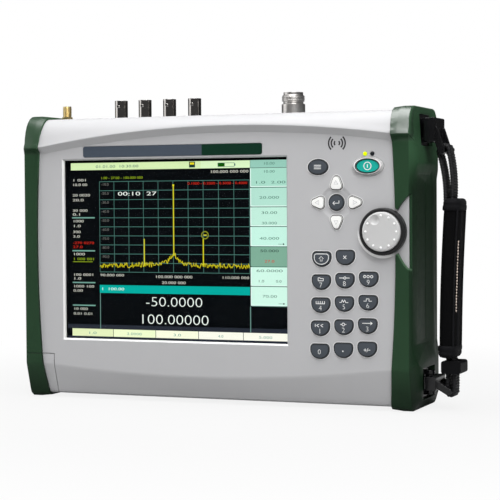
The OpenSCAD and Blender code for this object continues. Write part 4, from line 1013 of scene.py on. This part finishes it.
    def inflate(self, scene, obj, held):
        """Runs the cloth under pressure and keeps a capped part of its movement."""
        obj.vertex_groups.new(name="held").add(held, 1.0, "REPLACE")
        before = [v.co.copy() for v in obj.data.vertices]
        cloth = obj.modifiers.new("cloth", "CLOTH")
        cloth.settings.use_pressure = True
        cloth.settings.uniform_pressure_force = self.PRESSURE
        cloth.settings.vertex_group_mass = "held"
        cloth.settings.effector_weights.gravity = 0
        cloth.collision_settings.use_collision = False
        for count in range(self.FRAMES):
            scene.frame_set(count + 1)
        solved = obj.evaluated_get(bpy.context.evaluated_depsgraph_get()).data
        after = [v.co.copy() for v in solved.vertices]
        obj.modifiers.remove(cloth)
        scene.frame_set(1)
        for v, a, b in zip(obj.data.vertices, before, after):
            v.co = a + (b - a) * min(1, self.SWELLING / max((b - a).length, 1e-9))

    def cuffs(self, material):
        """Bound ends of the sleeve, with a rolled edge and a sewn groove."""
        around, verts, faces = 64, [], []
        turn = ((0.0, -2.2), (0.0, 0.0), (0.006, 0.45), (0.02, 0.55), (0.034, 0.5), (0.04, 0.2), (0.046, 0.5),
                (0.06, 0.5), (0.074, 0.35), (0.077, -0.4))
        for flip in (False, True):
            tube = self.tube(len(turn), around, len(verts))
            faces += [tuple(reversed(f)) for f in tube] if flip else tube
            for t, grow in turn:
                for u in turns(around):
                    lint = 0.12 * noise.noise(Vector((9 * math.cos(u), 9 * math.sin(u), 60 * t + 5 * flip)))
                    verts.append(self.ring(1 - t if flip else t, u, grow + lint))
        piece("pad_cuffs", verts, faces, "hand_strap", "pad_black", [material])

    def piping(self, material):
        """Round cords sewn along the edges of the sleeve's outer face."""
        verts, faces, around, rows, radius = [], [], 8, 60, 0.0007
        for angle in self.SEAMS:
            u = math.radians(angle)
            faces += self.tube(rows, around, len(verts))
            for i in range(rows):
                t = 0.07 + 0.86 * i / (rows - 1)
                p = self.ring(t, u, -0.2)
                out = (self.ring(t, u, 1.0) - self.ring(t, u, 0.0)).normalized()
                side = out.cross(Vector((0, 0, 1))).normalized()
                verts += [p + (out * math.cos(v) + side * math.sin(v)) * radius for v in turns(around)]
        piece("pad_piping", verts, faces, "hand_strap", "pad_black", [material])

    def stitches(self, thread, length):
        """Row of stitches along the binding of the outer face."""
        verts, faces, count, rows, around = [], [], 24, 7, 6
        for i in range(count):
            faces += self.tube(rows, around, len(verts))
            t = 0.29 + 0.45 * i / count
            a, b = (self.ring(t + d, self.STITCHED, 0.1) for d in (0, length * 1000 / self.SLEEVE_LENGTH))
            run = (b - a).normalized()
            side = run.cross(Vector((1, 0, 0))).normalized()
            up = side.cross(run)
            for j in range(rows):
                w = 0.00045 * math.sin(math.pi * (j + 0.4) / 6.8) + 0.00006
                p = a.lerp(b, j / (rows - 1))
                verts += [p + side * w * math.cos(v) + up * w * math.sin(v) for v in turns(around)]
        piece("pad_stitches", verts, faces, "hand_strap", "pad_black", [thread])


class ANALYZER_OT_studio(bpy.types.Operator):
    """Set the floor, the light and the camera"""
    bl_idname = "analyzer.studio"
    bl_label = "Studio"
    # Place from the middle of the picture, size and power
    LAMPS = {"lamp_top": ((-0.08, -0.1, 1.25), 1.1, 21), "lamp_left": ((-1.3, -0.3, 0.2), 1.1, 4.8),
             "lamp_right": ((0.62, -0.95, 1.0), 0.9, 13.8)}
    CAMERA, AIM, ROLL = (0.486, -1.0549, 0.0337), (0.0601, 0, 0.0004), -0.37
    FLOOR_RADIUS, FLOOR_Z = 2.5, -0.0004

    def execute(self, context):
        scene = context.scene
        scene.view_settings.view_transform = "Standard"
        self.world(scene)
        self.floor(scene)
        heart = Vector((PICTURE_X, PANEL_Y, SCREEN_Z))
        for name, (place, size, power) in self.LAMPS.items():
            light = bpy.data.lights.new(name, "AREA")
            light.size, light.energy = size, power
            self.stand(scene, light, heart + Vector(place), heart)
        camera = bpy.data.cameras.new("studio_camera")
        camera.lens, camera.sensor_width = scene.analyzer_sizes.lens, 36
        scene.camera = self.stand(scene, camera, heart + Vector(self.CAMERA), heart + Vector(self.AIM), self.ROLL)
        return {"FINISHED"}

    def stand(self, scene, data, place, aim, roll=0.0):
        """Lamp or camera in its place, turned to its aim."""
        obj = bpy.data.objects.new(data.name, data)
        scene.collection.objects.link(obj)
        obj.location = place
        obj.rotation_mode = "QUATERNION"
        turn = Quaternion((0, 0, 1), math.radians(roll))
        obj.rotation_quaternion = (aim - place).to_track_quat("-Z", "Y") @ turn
        return obj

    def rays(self, f, *kinds):
        """Sockets that tell one kind of ray from the others."""
        sockets = f.node("ShaderNodeLightPath").socket.node.outputs
        return [Shade(f, sockets[kind]) for kind in kinds]

    def seen(self, f):
        """One for rays that show the background itself."""
        straight, through = self.rays(f, "Is Camera Ray", "Is Transmission Ray")
        return f.maths("MINIMUM", straight + through, 1.0)

    def world(self, scene):
        """White background, and a darker room for shiny faces."""
        scene.world = bpy.data.worlds.new("studio_world")
        f = Finish("studio_world", scene.world)
        # Shiny faces see a darker room, darkest behind the object.
        dark = f.fit(f.axis("Y", f.place("Generated")), -0.2, 0.4, 0.78, 0.9)
        level = 0.34 * (1 - dark * self.rays(f, "Is Glossy Ray")[0]) + 0.66 * self.seen(f)
        back = f.node("ShaderNodeBackground", None, {"Color": (1.0, 1.0, 1.0), "Strength": level})
        f.node("ShaderNodeOutputWorld", None, {"Surface": back})

    def floor(self, scene):
        """Round floor that fades into the background and takes a soft shadow."""
        mesh = bpy.data.meshes.new("studio_floor")
        rim = [(self.FLOOR_RADIUS * math.cos(a), self.FLOOR_RADIUS * math.sin(a), self.FLOOR_Z) for a in turns(96)]
        mesh.from_pydata(rim, [], [tuple(range(96))])
        f = Finish("floor_pale")
        away = f.node("ShaderNodeVectorMath", {"operation": "LENGTH"}, {0: f.place()}, "Value")
        fade = f.fit(away, 0.18, 0.55, 0.86, 1.0)
        shade = f.node("ShaderNodeBsdfDiffuse", None, {"Color": f.tint((0.4, 0.4, 0.4), 0.97 + 0.06 * f.noise(0.2))})
        lit = f.node("ShaderNodeEmission", None, {"Color": (1.0, 1.0, 1.0), "Strength": 1.0})
        both = f.node("ShaderNodeMixShader", None, {0: fade * self.seen(f), 1: shade, 2: lit})
        f.node("ShaderNodeOutputMaterial", None, {"Surface": both})
        mesh.materials.append(f.material)
        floor = bpy.data.objects.new("studio_floor", mesh)
        scene.collection.objects.link(floor)


STEPS = (ANALYZER_OT_studio, ANALYZER_OT_case, ANALYZER_OT_inside, ANALYZER_OT_display, ANALYZER_OT_keys,
         ANALYZER_OT_knob, ANALYZER_OT_panel_sign, ANALYZER_OT_connectors, ANALYZER_OT_strap)


class ANALYZER_PT_sidebar(bpy.types.Panel):
    """Lists the steps and the sizes and colours they use"""
    bl_idname = "ANALYZER_PT_sidebar"
    bl_label = "Spectrum analyzer"
    bl_space_type = "VIEW_3D"
    bl_region_type = "UI"
    bl_category = "Analyzer"

    def draw(self, context):
        for step in STEPS:
            self.layout.operator(step.bl_idname)
        for group in (context.scene.analyzer_sizes, context.scene.analyzer_colours):
            for name in group.__annotations__:
                self.layout.prop(group, name)


CLASSES = (AnalyzerColours, AnalyzerSizes, *STEPS, ANALYZER_PT_sidebar)


def register():
    for item in CLASSES:
        bpy.utils.register_class(item)
    bpy.types.Scene.analyzer_colours = PointerProperty(type=AnalyzerColours)
    bpy.types.Scene.analyzer_sizes = PointerProperty(type=AnalyzerSizes)


def unregister():
    del bpy.types.Scene.analyzer_sizes
    del bpy.types.Scene.analyzer_colours
    for item in reversed(CLASSES):
        bpy.utils.unregister_class(item)


def main():
    register()
    for step in STEPS:
        group, name = step.bl_idname.split(".")
        getattr(getattr(bpy.ops, group), name)()


if __name__ == "__main__":
    main()
